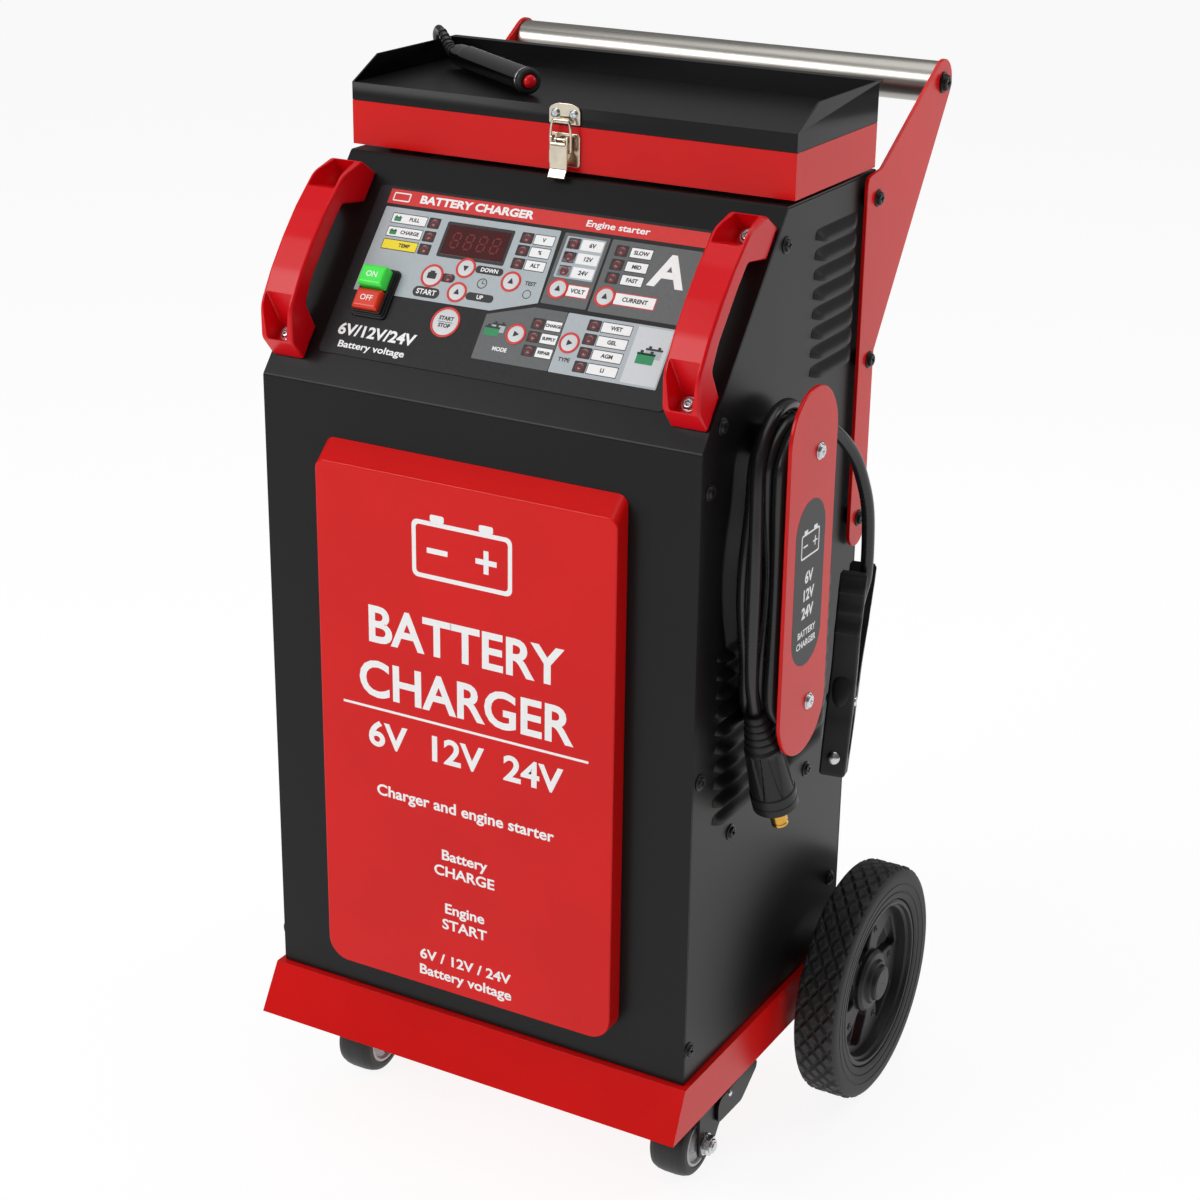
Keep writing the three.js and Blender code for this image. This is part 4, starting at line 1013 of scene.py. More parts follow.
def panel_print():
    ink = []
    layer = [FILM_TOP + 0.02, FILM_TOP + 0.06, FILM_TOP + 0.10, FILM_TOP + 0.14]

    def area(loops, level, material):
        ink.append((sheet_ink(loops, layer[level]), material))

    def text(body, cap, u, v, level=2, material=DARK_INK, **more):
        ink.append((words(body, cap, u, v, layer[level] + 0.012, **more), material))

    def lamp(u, v, back=True):
        if back:
            area([rectangle(u - 5.2, u + 5.2, v - 4.4, v + 4.4, 1)], 1, DARK_INK)
        ring = turned(
            [(2.2, 0.1), (2.7, 0.28), (3.2, 0.26), (3.5, 0.0), (2.2, 0.0)], "z", (u, v), 28, True
        )
        ink.append((moved(ring, at(0, 0, layer[2])), LAMP_RING))
        lens = dome(2.3, 0.35, 0.05, 24)
        ink.append((moved(lens, at(u, v, layer[2])), LAMP_LENS))

    def label(u0, u1, v, body=None, material=WHITE_INK, cap=3.1):
        area([rectangle(u0 - 0.5, u1 + 0.5, v - 4.3, v + 4.3, 0.6)], 1, DARK_INK)
        area([rectangle(u0, u1, v - 3.7, v + 3.7, 0.4)], 2, material)
        if body:
            text(body, cap, (u0 + u1) / 2, v, 3, DARK_INK, bold=0.17)

    def key(u, v, r, heading=None, body=None):
        ring = fillet([(r - 1.7, 0), (r - 1.5, 0.45), (r, 0.45), (r + 0.3, 0)], 0.2, 2)
        ink.append((moved(turned(ring, "z", (u, v), 48, True), at(0, 0, layer[1])), RED_INK))
        cap = turned(
            [(0, 0.32), (r - 2.6, 0.3), (r - 1.6, 0.12), (r - 1.6, 0), (0, 0)], "z", (u, v), 48
        )
        ink.append((moved(cap, at(0, 0, layer[1])), KEY_CAP))
        top = layer[1] + 0.34
        if heading:
            loops = [fillet(arrow(u, v, 3.0, heading), 0.4, 2)]
            ink.append((sheet_ink(loops, top), DARK_INK))
        for k, line in enumerate(body or []):
            ink.append((words(line, 3.1, u, v + 2.9 - 5.8 * k, top + 0.03, bold=0.17), DARK_INK))

    def pill(u0, u1, v, body, tall=6.2, cap=3.2):
        r = tall / 2
        area([rectangle(u0, u1, v - r, v + r, r, 6)], 1, DARK_INK)
        text(body, cap, (u0 + u1) / 2, v, 2, WHITE_INK, bold=0.15)

    def dial(u, v, inner, outer, sides):
        ring = turned(
            [(inner, 0), (inner, 0.05), (outer, 0.05), (outer, 0)], "z", (u, v), sides, True
        )
        ink.append((moved(ring, at(0, 0, layer[1])), DARK_INK))

    def tag(u0, u1, v, half, middle, body, edge=0.7):
        inside = rectangle(u0 + edge, u1 - edge, v - half + edge, v + half - edge, 0.3)
        area([rectangle(u0, u1, v - half, v + half, 0.5), inside], 1, RED_INK)
        area([inside], 2, WHITE_INK)
        text(body, 3.3, middle, v, 3, DARK_INK, bold=0.17)

    def battery(u, v, size, colour, level=2):
        w, h = size, size * 0.62
        area([rectangle(u - w / 2, u + w / 2, v - h / 2, v + h / 2, 0.5)], level, colour)
        for side in (-1, 1):
            x = u + side * w * 0.28
            area(
                [rectangle(x - w * 0.09, x + w * 0.09, v + h / 2, v + h / 2 + size * 0.13)], level,
                DARK_INK
            )
        bar = [rectangle(u - w * 0.52, u + w * 0.52, v + h * 0.3, v + h * 0.5, 0.2)]
        area(bar, level + 1 if level < 3 else 3, DARK_INK)

    area([rectangle(-134.8, 134.8, 151.2, 163.2, 0.6)], 0, RED_INK)
    battery_mark = [
        rectangle(-131, -116, 153.6, 160.8, 1), rectangle(-130, -117, 154.6, 159.8, 0.6)
    ]
    area(battery_mark, 1, WHITE_INK)
    text("BATTERY CHARGER", 6.4, -58, 157.2, 1, WHITE_INK, bold=0.36, wide=1.25)
    text("Engine starter", 5.2, 62, 157.2, 1, WHITE_INK, bold=0.16, wide=1.3)
    main = [
        (-134, 148.4),
        (18.3, 148.6),
        (20.6, 90.3),
        (-15.8, 78.7),
        (-98.6, 78.1),
        (-134.9, 78.1),
    ]
    area([fillet(main, 0.8, 3)], 0, GREY_INK)
    border = [rectangle(-76.4, -18.2, 114.4, 143.4, 1.5), rectangle(*DISPLAY, 0.6)]
    area(border, 1, DARK_INK)
    for v, body in ((139.9, "FULL"), (128.8, "CHARGE")):
        label(-125, -95, v)
        text(body, 3.0, -105.4, v, 3, DARK_INK, bold=0.15)
        battery(-120, v - 0.6, 6, GREEN_INK, 3)
        lamp(-88, v)
    label(-125, -95, 118.2, material=YELLOW_INK)
    text("TEMP", 3.0, -106, 118.2, 3, DARK_INK, bold=0.15)
    lamp(-88, 118.2)
    for v, body in ((139.1, "V"), (128.9, "%"), (118.3, "ALT")):
        lamp(-7, v)
        label(-0.5, 15.6, v, body)
    key(-73.1, 98.4, 9.2)
    for loops in (
        [rectangle(-77, -69.4, 96, 101, 0.8)], [rectangle(-75.4, -71.4, 101, 102.4, 0.3)]
    ):
        ink.append((sheet_ink(loops, layer[1] + 0.36), DARK_INK))
    pill(-84.5, -61.6, 84.8, "START", 8.4, 4.2)
    area([rectangle(-66, -53.4, 95, 102, 3.5, 6)], 1, DARK_INK)
    lamp(-58.8, 98.5, False)
    key(-47.7, 108.5, 8, "down")
    key(-47.7, 88.7, 8, "up")
    pill(-39.4, -15.9, 109.2, "DOWN")
    pill(-39.4, -15.9, 87.4, "UP")
    dial(-29.8, 98.5, 3.4, 4.1, 32)
    area([rectangle(-30.1, -29.5, 98.2, 101.2)], 2, DARK_INK)
    area([rectangle(-29.8, -27.4, 98.2, 98.8)], 2, DARK_INK)
    key(-7.1, 103.5, 8, "up")
    text("TEST", 3.1, 9.2, 104, 1, DARK_INK, bold=0.15)
    dial(9.2, 95.6, 2.9, 3.5, 28)
    key(-47.8, 64.1, 12, None, ["START", "STOP"])
    ink.append((sheet_ink([rectangle(-54, -41.6, 63.9, 64.3)], layer[1] + 0.37), DARK_INK))
    voltage = [(22.2, 91), (59.7, 91), (59.7, 148), (22.2, 148)]
    area([fillet(voltage, 1, 3)], 0, MID_INK)
    area([rectangle(25, 57, 112.6, 145.6, 0.8)], 1, GREY_INK)
    for v, body in ((140.1, "6V"), (129.2, "12V"), (118.1, "24V")):
        lamp(32.1, v)
        area([rectangle(38.4, 56, v - 4.2, v + 4.2, 0.4)], 2, WHITE_INK)
        text(body, 3.4, 47.5, v, 3, DARK_INK, bold=0.17)
    key(32.2, 103.7, 8, "up")
    tag(39.4, 57.4, 103.7, 4.9, 48.6, "VOLT")
    area([fillet([(61.6, 90.4), (134, 90.4), (134, 148), (61.6, 148)], 1, 3)], 0, MID_INK)
    for v, body in ((139.9, "SLOW"), (128.9, "MID"), (118.2, "FAST")):
        lamp(71.5, v)
        label(79, 96, v, body)
    key(71.1, 103.2, 8, "up")
    tag(78.4, 112, 103.2, 5, 95.4, "CURRENT")
    text("A", 25, 114, 128.2, 1, WHITE_INK, bold=1.1, wide=1.12)
    area(
        [fillet([(-16.9, 75.8), (19.5, 86.8), (47.2, 86.9), (47.2, 40.5), (-16.6, 40.4)], 0.8, 3)],
        0, MID_INK
    )
    battery(-3.6, 66.6, 11, GREY_INK, 1)
    battery(-8, 63.5, 12, GREEN_INK, 2)
    key(12.2, 64.1, 8, "right")
    text("MODE", 3.1, 3.6, 50.4, 1, WHITE_INK, bold=0.15)
    for v, body in ((74.7, "CHARGE"), (64.3, "SUPPLY"), (53.3, "REPAIR")):
        lamp(26.9, v)
        label(33, 46, v, body, cap=2.35)
    area([fillet([(47.8, 40.3), (134.5, 40.3), (134.5, 87), (47.8, 87)], 0.8, 3)], 0, GREY_INK)
    area([rectangle(105.5, 133.3, 42, 85.5, 0.6)], 1, PALE_INK)
    key(56.5, 64.3, 8, "right")
    text("TYPE", 3.1, 57, 51, 1, DARK_INK, bold=0.15)
    for v, body in ((80.3, "WET"), (69.4, "GEL"), (58.7, "AGM"), (47.8, "LI")):
        lamp(71.2, v)
        label(77.5, 101, v, body)
    battery(123.4, 66.2, 13, GREY_INK, 2)
    battery(118.4, 62, 14, GREEN_INK, 3)
    text("6V/12V/24V", 9, -101, 45.5, 0, WHITE_INK, bold=0.4, wide=1.12)
    text("Battery voltage", 5.4, -101, 33.8, 0, WHITE_INK, bold=0.16, wide=1.3)
    return ink


def make_panel():
    x0, x1, s0, s1 = DISPLAY
    outline = [
        rectangle(-145.3, 146, 25.5, 165.5, 4),
        rectangle(x0 - GAP, x1 + GAP, s0 - GAP, s1 + GAP, 0.6),
        rectangle(SWITCH[0] - GAP, SWITCH[1] + GAP, SWITCH[2] - GAP, SWITCH[3] + GAP, 3),
    ]
    film = plate(outline, "z", GAP, FILM_TOP, 0.12, 1)
    piece("control_film", "cabinet", [(film, FILM)], ["control_overlay"], SLOPE)
    piece("control_print", "cabinet", panel_print(), (), SLOPE, weight=False)
    glass = plate([rectangle(x0, x1, s0, s1, 0.6)], "z", GAP, 1.1, 0.2, 2)
    parts = [(glass, WINDOW)]
    digit_w, digit_h, bar = 6.0, 12.0, 1.3
    for k in range(4):
        u, v = x0 + 9.6 + 11.4 * k, (s0 + s1) / 2
        lean = 0.09
        ends = [
            (-1, 1, 1, 1), (-1, 0, 1, 0), (-1, -1, 1, -1),
            (-1, 0, -1, 1), (1, 0, 1, 1), (-1, -1, -1, 0), (1, -1, 1, 0),
        ]
        for a, b, c, d in ends:
            p = Vector((a * digit_w / 2, b * digit_h / 2))
            q = Vector((c * digit_w / 2, d * digit_h / 2))
            way = (q - p).normalized()
            side = Vector((-way.y, way.x)) * bar / 2
            p, q = p + way * 0.55, q - way * 0.55
            tips = [
                p, p + way * 0.6 + side, q - way * 0.6 + side, q, q - way * 0.6 - side,
                p + way * 0.6 - side
            ]
            loop = [(u + t.x + lean * t.y, v + t.y) for t in tips]
            parts.append((sheet_ink([loop], 1.11), SEGMENT))
    piece("display_glass", "cabinet", parts, ["display_window"], SLOPE)


BUTTON_X = (-124.5, -102.5)
BUTTON_ON = (78.2, 94.2)
BUTTON_OFF = (60.8, 76.8)
BUTTON_TRAVEL = 4.0


def button(span, height, text, body, node, material):
    (x0, x1), (s0, s1) = BUTTON_X, span
    levels = [
        (height - 9.5, 0.3), (height - 9.2, 0.0), (height - 2.4, 0.0), (height - 1.7, 0.12),
        (height - 0.9, 0.7), (height - 0.35, 1.2), (height - 0.05, 1.9), (height, 2.6),
    ]
    rings = []
    for z, inset in levels:
        loop = rectangle(x0 + inset, x1 - inset, s0 + inset, s1 - inset, 1.1, 4)
        rings.append([(u, v, z) for u, v in loop])
    cap = stitched(rings)
    letters = words(text, 4.6, (x0 + x1) / 2, (s0 + s1) / 2, height + 0.02, bold=0.05)
    piece(body + "_cap", body, [(cap, material), (letters, WHITE_INK)], [node], SLOPE)


def make_switch():
    x0, x1, s0, s1 = SWITCH
    well = rectangle(
        BUTTON_X[0] - 0.4, BUTTON_X[1] + 0.4, BUTTON_OFF[0] - 0.4, BUTTON_ON[1] + 0.4, 1
    )
    flange = plate([rectangle(x0, x1, s0, s1, 4, 6), well], "z", GAP, 2.8, 0.7, 3)
    step = plate([rectangle(x0 + 1.1, x1 - 1.1, s0 + 1, s1 - 1, 3, 6), well], "z", 1.5, 4.6, 0.6, 3)
    wall = plate(
        [rectangle(x0 + 2.2, x1 - 2.2, s0 + 1.8, s1 - 1.8, 2, 5), well], "z", 2, 7.5, 0.45, 3
    )
    floor = plate([well], "z", 0.5, 1.4, 0.1, 1)
    parts = [(mesh, BLACK_PLASTIC) for mesh in (flange, step, wall, floor)]
    piece("switch_frame", "cabinet", parts, ["switch_housing"], SLOPE)
    button(BUTTON_ON, 16, "ON", "on_button", "on_button", GREEN_PLASTIC)
    button(
        BUTTON_OFF, 16 - BUTTON_TRAVEL, "OFF", "off_button", "off_button", OFF_PLASTIC,
    )


HANDLE_SCREWS = (30.5, 159.5)  # up the slope


def make_handles():
    x0, x1 = 154.3, 183.0
    middle = (x0 + x1) / 2
    side = [
        (16.7, GAP, 1), (44, GAP, 1), (52.5, 22.5, 7), (72, 26.6, 30), (112, 26.6, 30),
        (134, 25, 7),
        (149.5, GAP, 1), (174.8, GAP, 1), (172.5, 22, 8), (152, 37, 22), (120, 41.6, 60),
        (95, 42.5, 60),
        (68, 41.4, 60), (40, 37.2, 22), (20.6, 21, 9),
    ]
    grip = plate([fillet(side, 0, 7)], "x", x0, x1, 2.2, 4)

    def funnel(low, high):
        rings = []
        for h, (a, b), half in ((11.5, low, 7.2), (60, high, 15.5)):
            loop = rectangle(middle - half, middle + half, a, b, 1.5, 3)
            rings.append([(u, v, h) for u, v in loop])
        return stitched(rings)

    grip = carved(grip, funnel((24.5, 36.5), (4, 62)), funnel((153.5, 165.5), (128, 186)))
    grip = bevelled(grip, 0.45, 2, 40)
    for name, sign in SIDES:
        place = on_side(sign) @ SLOPE
        node = f"{name}_carry_handle"
        parts = [(grip.copy(), RED_PLASTIC)]
        piece(node + "_grip", "cabinet", parts, [node], place)
        heads = []
        for s in HANDLE_SCREWS:
            washer = moved(turned(rod(5.6, 0, 0.9), "z", sides=32), at(middle, s, 11.5))
            head = moved(screw(4.2, 2.8, 4.5, 2.2), at(middle, s, 12.3))
            heads += [(washer, ZINC), (head, ZINC)]
        piece(f"{name}_handle_screws", "cabinet", heads, (), place)


# ------------------------------------------------------------------ tool box, lid and latch
LATCH_X, LATCH_Y, LATCH_Z, BAIL_DROP = 1.0, 120.5, 803.5, 8.5
BOX_FRONT = 127.3
LID_LOW = 812.9
HINGE = (269.5, 812.8)


def make_box():
    seam = [
        (
            moved(dome(2.6, 0.9, 0.1, 24), at(x, 265.9, 800) @ FACE_BACK), RED_PAINT
        ) for x in (-140, 0, 140)
    ]
    refined("storage_box", "cabinet", RED_PAINT, 1.9, 4, 35, seam)
    refined("lid_tray", "lid", BLACK_PAINT, 0.6, 3, 25)
    knuckles = []
    y, z = HINGE
    length = 20
    for x in range(-160, 160, length):
        tube = rounded_turn(rod(3, x + 0.2, x + length - 0.2), "x", (y, z), 0.3, 24)
        knuckles.append((tube, STEEL))
    leaf = block(-160, 160, 266, 267.3, z - 20, z - 1, 0.2)
    knuckles.append((leaf, STEEL))
    for x in (-130, -45, 45, 130):
        knuckles.append((moved(dome(2.4, 1.0, 0.2, 24), at(x, 267.2, z - 11) @ FACE_BACK), STEEL))
    piece("lid_hinge_knuckles", "cabinet", knuckles, ["lid_hinge"])


def make_latch():
    x, y, z = LATCH_X, LATCH_Y, LATCH_Z
    keeper = [
        (x - 13, LID_LOW + 0.9, 1), (x + 13, LID_LOW + 0.9, 1), (x + 13, LID_LOW + 13, 4),
        (x + 6, LID_LOW + 16, 12), (x - 6, LID_LOW + 16, 12), (x - 13, LID_LOW + 13, 4),
    ]
    plate_mesh = plate([fillet(keeper, 0, 5)], "y", BOX_FRONT - 1.5, BOX_FRONT - GAP, 0.3, 2)
    lip_out, lip_low = 121.9, z + 11
    lip = fillet(
        [
            (BOX_FRONT - 1, lip_low), (lip_out, lip_low, 1.2), (lip_out, z + 15.4),
            (lip_out + 1, z + 15.4),
            (lip_out + 1, lip_low + 1.2, 0.6), (BOX_FRONT - 1, lip_low + 1.2),
        ],
        0, 4,
    )
    parts = [(plate_mesh, NICKEL), (plate([lip], "x", x - 6, x + 6, 0.25, 2), NICKEL)]
    for dx in (-7.6, 7.6):
        rivet = moved(
            screw(3.2, 1.5, 3.4, 1.5, 0.4, 0.5),
            at(x + dx, BOX_FRONT - 1.5, LID_LOW + 8.4) @ FACE_FRONT
        )
        parts.append((rivet, ZINC))
    piece("latch_keeper_plate", "lid", parts, ["latch_keeper"])
    base = plate(
        [rectangle(x - 13, x + 13, 783, z + 4, 2.5, 5)], "y", BOX_FRONT - 1.5, BOX_FRONT - GAP, 0.3,
        2
    )
    ear = [
        (y - 1.9, z - 1.6, 1.3), (BOX_FRONT - 1, z - 6), (BOX_FRONT - 1, z + 1.6),
        (y - 1.9, z + 1.6, 1.3),
    ]
    parts = [(base, NICKEL)]
    for dx in (-4.4, 3):
        parts.append((plate([fillet(ear, 0, 4)], "x", x + dx, x + dx + 1.4, 0.2, 1), NICKEL))
    parts.append((turned(rod(1.2, x - 7.3, x + 7.3), "x", (y, z), 20), NICKEL))
    piece("latch_base_plate", "cabinet", parts, ["latch_base"])
    face = [
        (y - 3.6, z - 2.5, 0.3), (y - 3.6, z - 21.5, 4), (y - 6.9, z - 26.8, 0.5),
        (y - 5.8, z - 27.9, 0.5),
        (y - 2.3, z - 22.4, 4), (y - 2.3, z - 2.5, 0.3),
    ]
    cheek = [(y - 3, z + 3, 1.5), (y - 3, z - 15, 0.5), (y + 2.6, z - 11, 2), (y + 2.6, z + 3, 2)]
    lever = [(plate([fillet(face, 0, 5)], "x", x - 7.2, x + 7.2, 0.35, 3), NICKEL)]
    for dx in (-7.2, 6):
        holes = [circle(y, z, 1.6, 20), circle(y, z - BAIL_DROP, 1.4, 20)]
        lever.append(
            (plate([fillet(cheek, 0, 4), *holes], "x", x + dx, x + dx + 1.2, 0.2, 1), NICKEL)
        )
    roll = turned(rod(1.5, x - 5.8, x + 5.8), "x", (y - 3.2, z - 2.8), 20)
    lever.append((roll, NICKEL))
    piece("latch_lever_sheet", "latch_lever", lever, ["latch_lever"])
    reach, top, low = 8.5, z + 14, z - BAIL_DROP
    wire = [
        (x - reach + 2.2, y, low), (x - reach + 0.5, y, low), (x - reach, y, low + 0.8),
        (x - reach, y, low + 3),
        (x - reach, y, low + 7), (x - reach + 0.4, y, top - 6), (x - reach + 1.6, y, top - 1.2),
        (x - reach + 3.2, y, top), (x, y, top),
    ]
    mirror = [(2 * x - p[0], p[1], p[2]) for p in reversed(wire[:-1])]
    bail = pipe(smooth_path([*wire, *mirror], 5), 0.95, 14)
    piece("latch_bail_wire", "latch_bail", [(bail, NICKEL)], ["latch_bail"])


# ------------------------------------------------------------------ push bar, brackets and hanger
BAR_Y, BAR_Z, BAR_R = 383.5, 825.5, 16.0
BRACKET_X, BRACKET_T = 187.5, 3.0
BRACKET_SCREWS = [(267.1, 756.3), (266.6, 631.4), (263, 503.9)]


def bracket_outline():
    end, end_r = Vector((BAR_Y, BAR_Z)), 18.0

    def tangent(point, sign):
        away = end - Vector(point)
        heading = math.atan2(away.y, away.x) + sign * math.asin(end_r / away.length)
        run = math.sqrt(away.length_squared - end_r**2)
        return Vector(point) + Vector((run * math.cos(heading), run * math.sin(heading)))

    low, high = tangent((275, 636), -1), tangent((272.5, 777.5), 1)
    out = [(247.5, 500)]
    for k in range(17):
        angle = math.pi + math.pi * k / 16
        out.append((261.25 + 13.75 * math.cos(angle), 495 + 13.75 * math.sin(angle)))
    out += [(275, 630), (275.3, 637)]
    a = math.atan2(low.y - end.y, low.x - end.x)
    b = math.atan2(high.y - end.y, high.x - end.x)
    for k in range(25):
        angle = a + (b - a) * k / 24
        out.append((end.x + end_r * math.cos(angle), end.y + end_r * math.sin(angle)))
    return [*out, (272.8, 777.5), (254, 775.5), (249.3, 773.7), (247.5, 769.5)]


def make_push_frame():
    end = BRACKET_X - GAP
    wall = [(BAR_R - 2, -end), (BAR_R, -end), (BAR_R, end), (BAR_R - 2, end)]
    bar = turned(fillet(wall, 0.5, 3), "x", (BAR_Y, BAR_Z), 96, True)
    piece("push_bar_tube", "cabinet", [(bar, STEEL)], ["push_bar"])
    outline = bracket_outline()
    for name, sign in SIDES:
        place = on_side(sign)
        sheet = plate([outline], "x", BRACKET_X, BRACKET_X + BRACKET_T, 0.5, 3)
        parts = [(sheet, RED_PAINT)]
        for y, z in BRACKET_SCREWS:
            spacer = turned(rod(6, 185.3, 188), "x", (y, z), 28)
            spin = Matrix.Rotation(y % 1.5, 4, "Z")
            head = moved(screw(5.0, 3.6, 6.6), at(BRACKET_X + BRACKET_T, y, z) @ FACE_RIGHT @ spin)
            parts += [(spacer, BLACK_ZINC), (head, BLACK_ZINC)]
        face = at(BRACKET_X + BRACKET_T, BAR_Y, BAR_Z) @ FACE_RIGHT
        parts.append((moved(turned(rod(8.2, 0, 1.2), "z", sides=36), face), BLACK_ZINC))
        parts.append((moved(screw(6.2, 4.2, 6.8, 3.2, 0.8), face @ at(0, 0, 0.8)), BLACK_ZINC))
        node = f"{name}_push_bracket"
        piece(node + "_sheet", "cabinet", parts, [node], place)


HANGER_X, HANGER_T, HANGER_Y, HANGER_HALF = 226.0, 3.0, 87.5, 38.5
HANGER_Z = (380.7, 661.7)
POST_Y, HANGER_POSTS = 97, (612, 419)


def obround(u, half, v0, v1, steps=24):
    out = []
    for centre, start in ((v0 + half, math.pi), (v1 - half, 0)):
        for k in range(steps + 1):
            angle = start + math.pi * k / steps
            out.append((u + half * math.cos(angle), centre + half * math.sin(angle)))
    return out


def make_hanger():
    outer = HANGER_X + HANGER_T
    sheet = plate([obround(HANGER_Y, HANGER_HALF, *HANGER_Z)], "x", HANGER_X, outer, 0.8, 3)
    parts = [(sheet, RED_PAINT)]
    for z in HANGER_POSTS:
        wall = rod(12, 185.3, HANGER_X + 0.5)
        parts.append((rounded_turn(wall, "x", (POST_Y, z), 0.8, 40), BLACK_PLASTIC))
        face = at(outer, POST_Y, z) @ FACE_RIGHT
        parts.append((moved(rounded_turn(rod(6.4, 0, 0.7), "z", r=0.3), face), ZINC))
        parts.append((moved(screw(5.2, 2.2, 5.4, 2.2, 0.5, 0.9), face @ at(0, 0, 0.6)), ZINC))
    piece("right_hanger_plate", "cabinet", parts, ["right_cable_hanger"])
    y, level = HANGER_Y, outer + 0.02
    ink = [(plate([obround(y, 24.5, 451.6, 578.8)], "z", level, level + 0.06, 0.0), DARK_INK)]
    top = level + 0.07
    case = [rectangle(y - 15, y + 15, 536, 555, 2), rectangle(y - 13.6, y + 13.6, 537.4, 553.6, 1)]
    marks = [case]
    for dx in (-8, 8):
        marks.append([rectangle(y + dx - 3, y + dx + 3, 555, 557.6, 0.6)])
    marks.append([rectangle(y - 11.6, y - 4.4, 544.8, 546.2)])
    marks.append([plus_sign(y + 8, 545.5, 3.6, 0.7)])
    ink += [(sheet_ink(mark, top), WHITE_INK) for mark in marks]
    for k, line in enumerate(("6V", "12V", "24V")):
        ink.append((words(line, 8.6, y, 520 - 13.5 * k, top, bold=0.45), WHITE_INK))
    ink.append((words("BATTERY", 5.2, y, 477.5, top, bold=0.2), WHITE_INK))
    ink.append((words("CHARGER", 5.2, y, 469, top, bold=0.2), WHITE_INK))
    piece("right_hanger_label", "cabinet", ink, (), FACE_RIGHT, weight=False)


# ------------------------------------------------------------------ base, wheels and castors
WHEEL_X, WHEEL_Y, WHEEL_R, WHEEL_W, RIM_R = 218.7, 260.0, 100.0, 37.4, 71.7


def tyre_mesh():
    """A tyre with raised diamond blocks across its tread."""
    around, cells_around = 612, 34
    half = WHEEL_W / 2
    profile = [
        (RIM_R + 0.3, -half + 4.5), (RIM_R + 0.8, -half + 2.4), (RIM_R + 3, -half + 1.4),
        (RIM_R + 6, -half + 1.3),
        (RIM_R + 6.6, -half + 1.9), (RIM_R + 7.4, -half + 1.9), (RIM_R + 8, -half + 1.1),
        (RIM_R + 13, -half + 0.3),
        (RIM_R + 13.6, -half + 0.8), (RIM_R + 14.4, -half + 0.8), (RIM_R + 15, -half + 0.2),
        (WHEEL_R - 8, -half + 0.1),
        (WHEEL_R - 5, -half + 0.7), (WHEEL_R - 2.8, -half + 2),
    ]
    tread_half = half - 3.2
    steps = 36
    tread = [(WHEEL_R - 0.5, -tread_half + 2 * tread_half * k / steps) for k in range(steps + 1)]
    mirrored = [(r, -x) for r, x in reversed(profile)]
    across, groove = 12.6, 2.6
    arc = 2 * math.pi * WHEEL_R / cells_around
    slant = math.hypot(1 / arc, 1 / across)

    def shape(angle, along, r):
        x = along - WHEEL_X
        if r < WHEEL_R - 1 or abs(x) > tread_half + 0.1:
            return r
        a = angle * WHEEL_R / arc + x / across
        b = angle * WHEEL_R / arc - x / across
        near = min(abs(a - round(a)), abs(b - round(b))) / slant
        block_top = smoothstep((near - 0.5) / 1.7)
        shoulder = 1.1 * smoothstep((abs(x) - tread_half + 2.4) / 3)
        centre = 0.25 * smoothstep((near - 2.6) / 1.2)
        return r - groove * (1 - block_top) * (1 - 0.4 * smoothstep(shoulder)) - shoulder - centre

    points = [(r, WHEEL_X + x) for r, x in [*profile, *tread, *mirrored]]
    return turned(points, "x", (WHEEL_Y, WHEEL_R), around, True, shape)


def rim_parts():
    x, at_hub = WHEEL_X, (WHEEL_Y, WHEEL_R)
    band = [
        (63.2, x - 15), (RIM_R, x - 15.2), (RIM_R, x + 15.2), (69.6, x + 16.4), (67.6, x + 16.2),
        (66.8, x + 13),
        (64.6, x + 11.5), (63.2, x + 4), (62.6, x - 6),
    ]
    parts = [(turned(fillet(band, 0.8, 3), "x", at_hub, 96, True), BLACK_PLASTIC)]
    spokes = 5
    holes = []
    for i in range(spokes):
        start = 2 * math.pi * i / spokes + 0.35
        lead = [(28, 0.0), (36, -0.04), (46, -0.12), (60, -0.26)]
        trail = [(60, 0.42), (46, 0.5), (36, 0.62), (28, 0.66)]
        loop = [
            (WHEEL_Y + r * math.cos(start + a), WHEEL_R + r * math.sin(start + a), 4) for r,
            a in [*lead, *trail]
        ]
        holes.append(fillet(loop, 4, 4))
    web = plate([circle(*at_hub, 64.5, 96), *holes], "x", x - 4, x + 5, 1.6, 4)
    parts.append((web, BLACK_PLASTIC))
    hub = [
        (8.6, x - 22), (18.6, x - 22), (20, x - 8), (26.5, x + 3), (26.5, x + 8), (24, x + 10.5),
        (19, x + 11),
        (17.6, x + 14), (15.6, x + 14.5), (14.6, x + 17.4), (12.6, x + 18.5), (0, x + 18.5),
        (0, x + 15.6), (8.6, x + 15.6),
    ]
    parts.append((turned(fillet(hub, 1.0, 4), "x", at_hub, 72, True), BLACK_PLASTIC))
    for i in range(spokes):
        angle = 2 * math.pi * i / spokes + 0.06
        root = Vector((WHEEL_Y + 44 * math.cos(angle), WHEEL_R + 44 * math.sin(angle)))
        boss = moved(
            turned([(1.4, 0), (1.4, 0.9), (2.8, 0.9), (3.2, 0)], "z", sides=24, closed=True),
            at(x + 4.9, *root) @ FACE_RIGHT
        )
        parts.append((boss, BLACK_PLASTIC))
    return parts


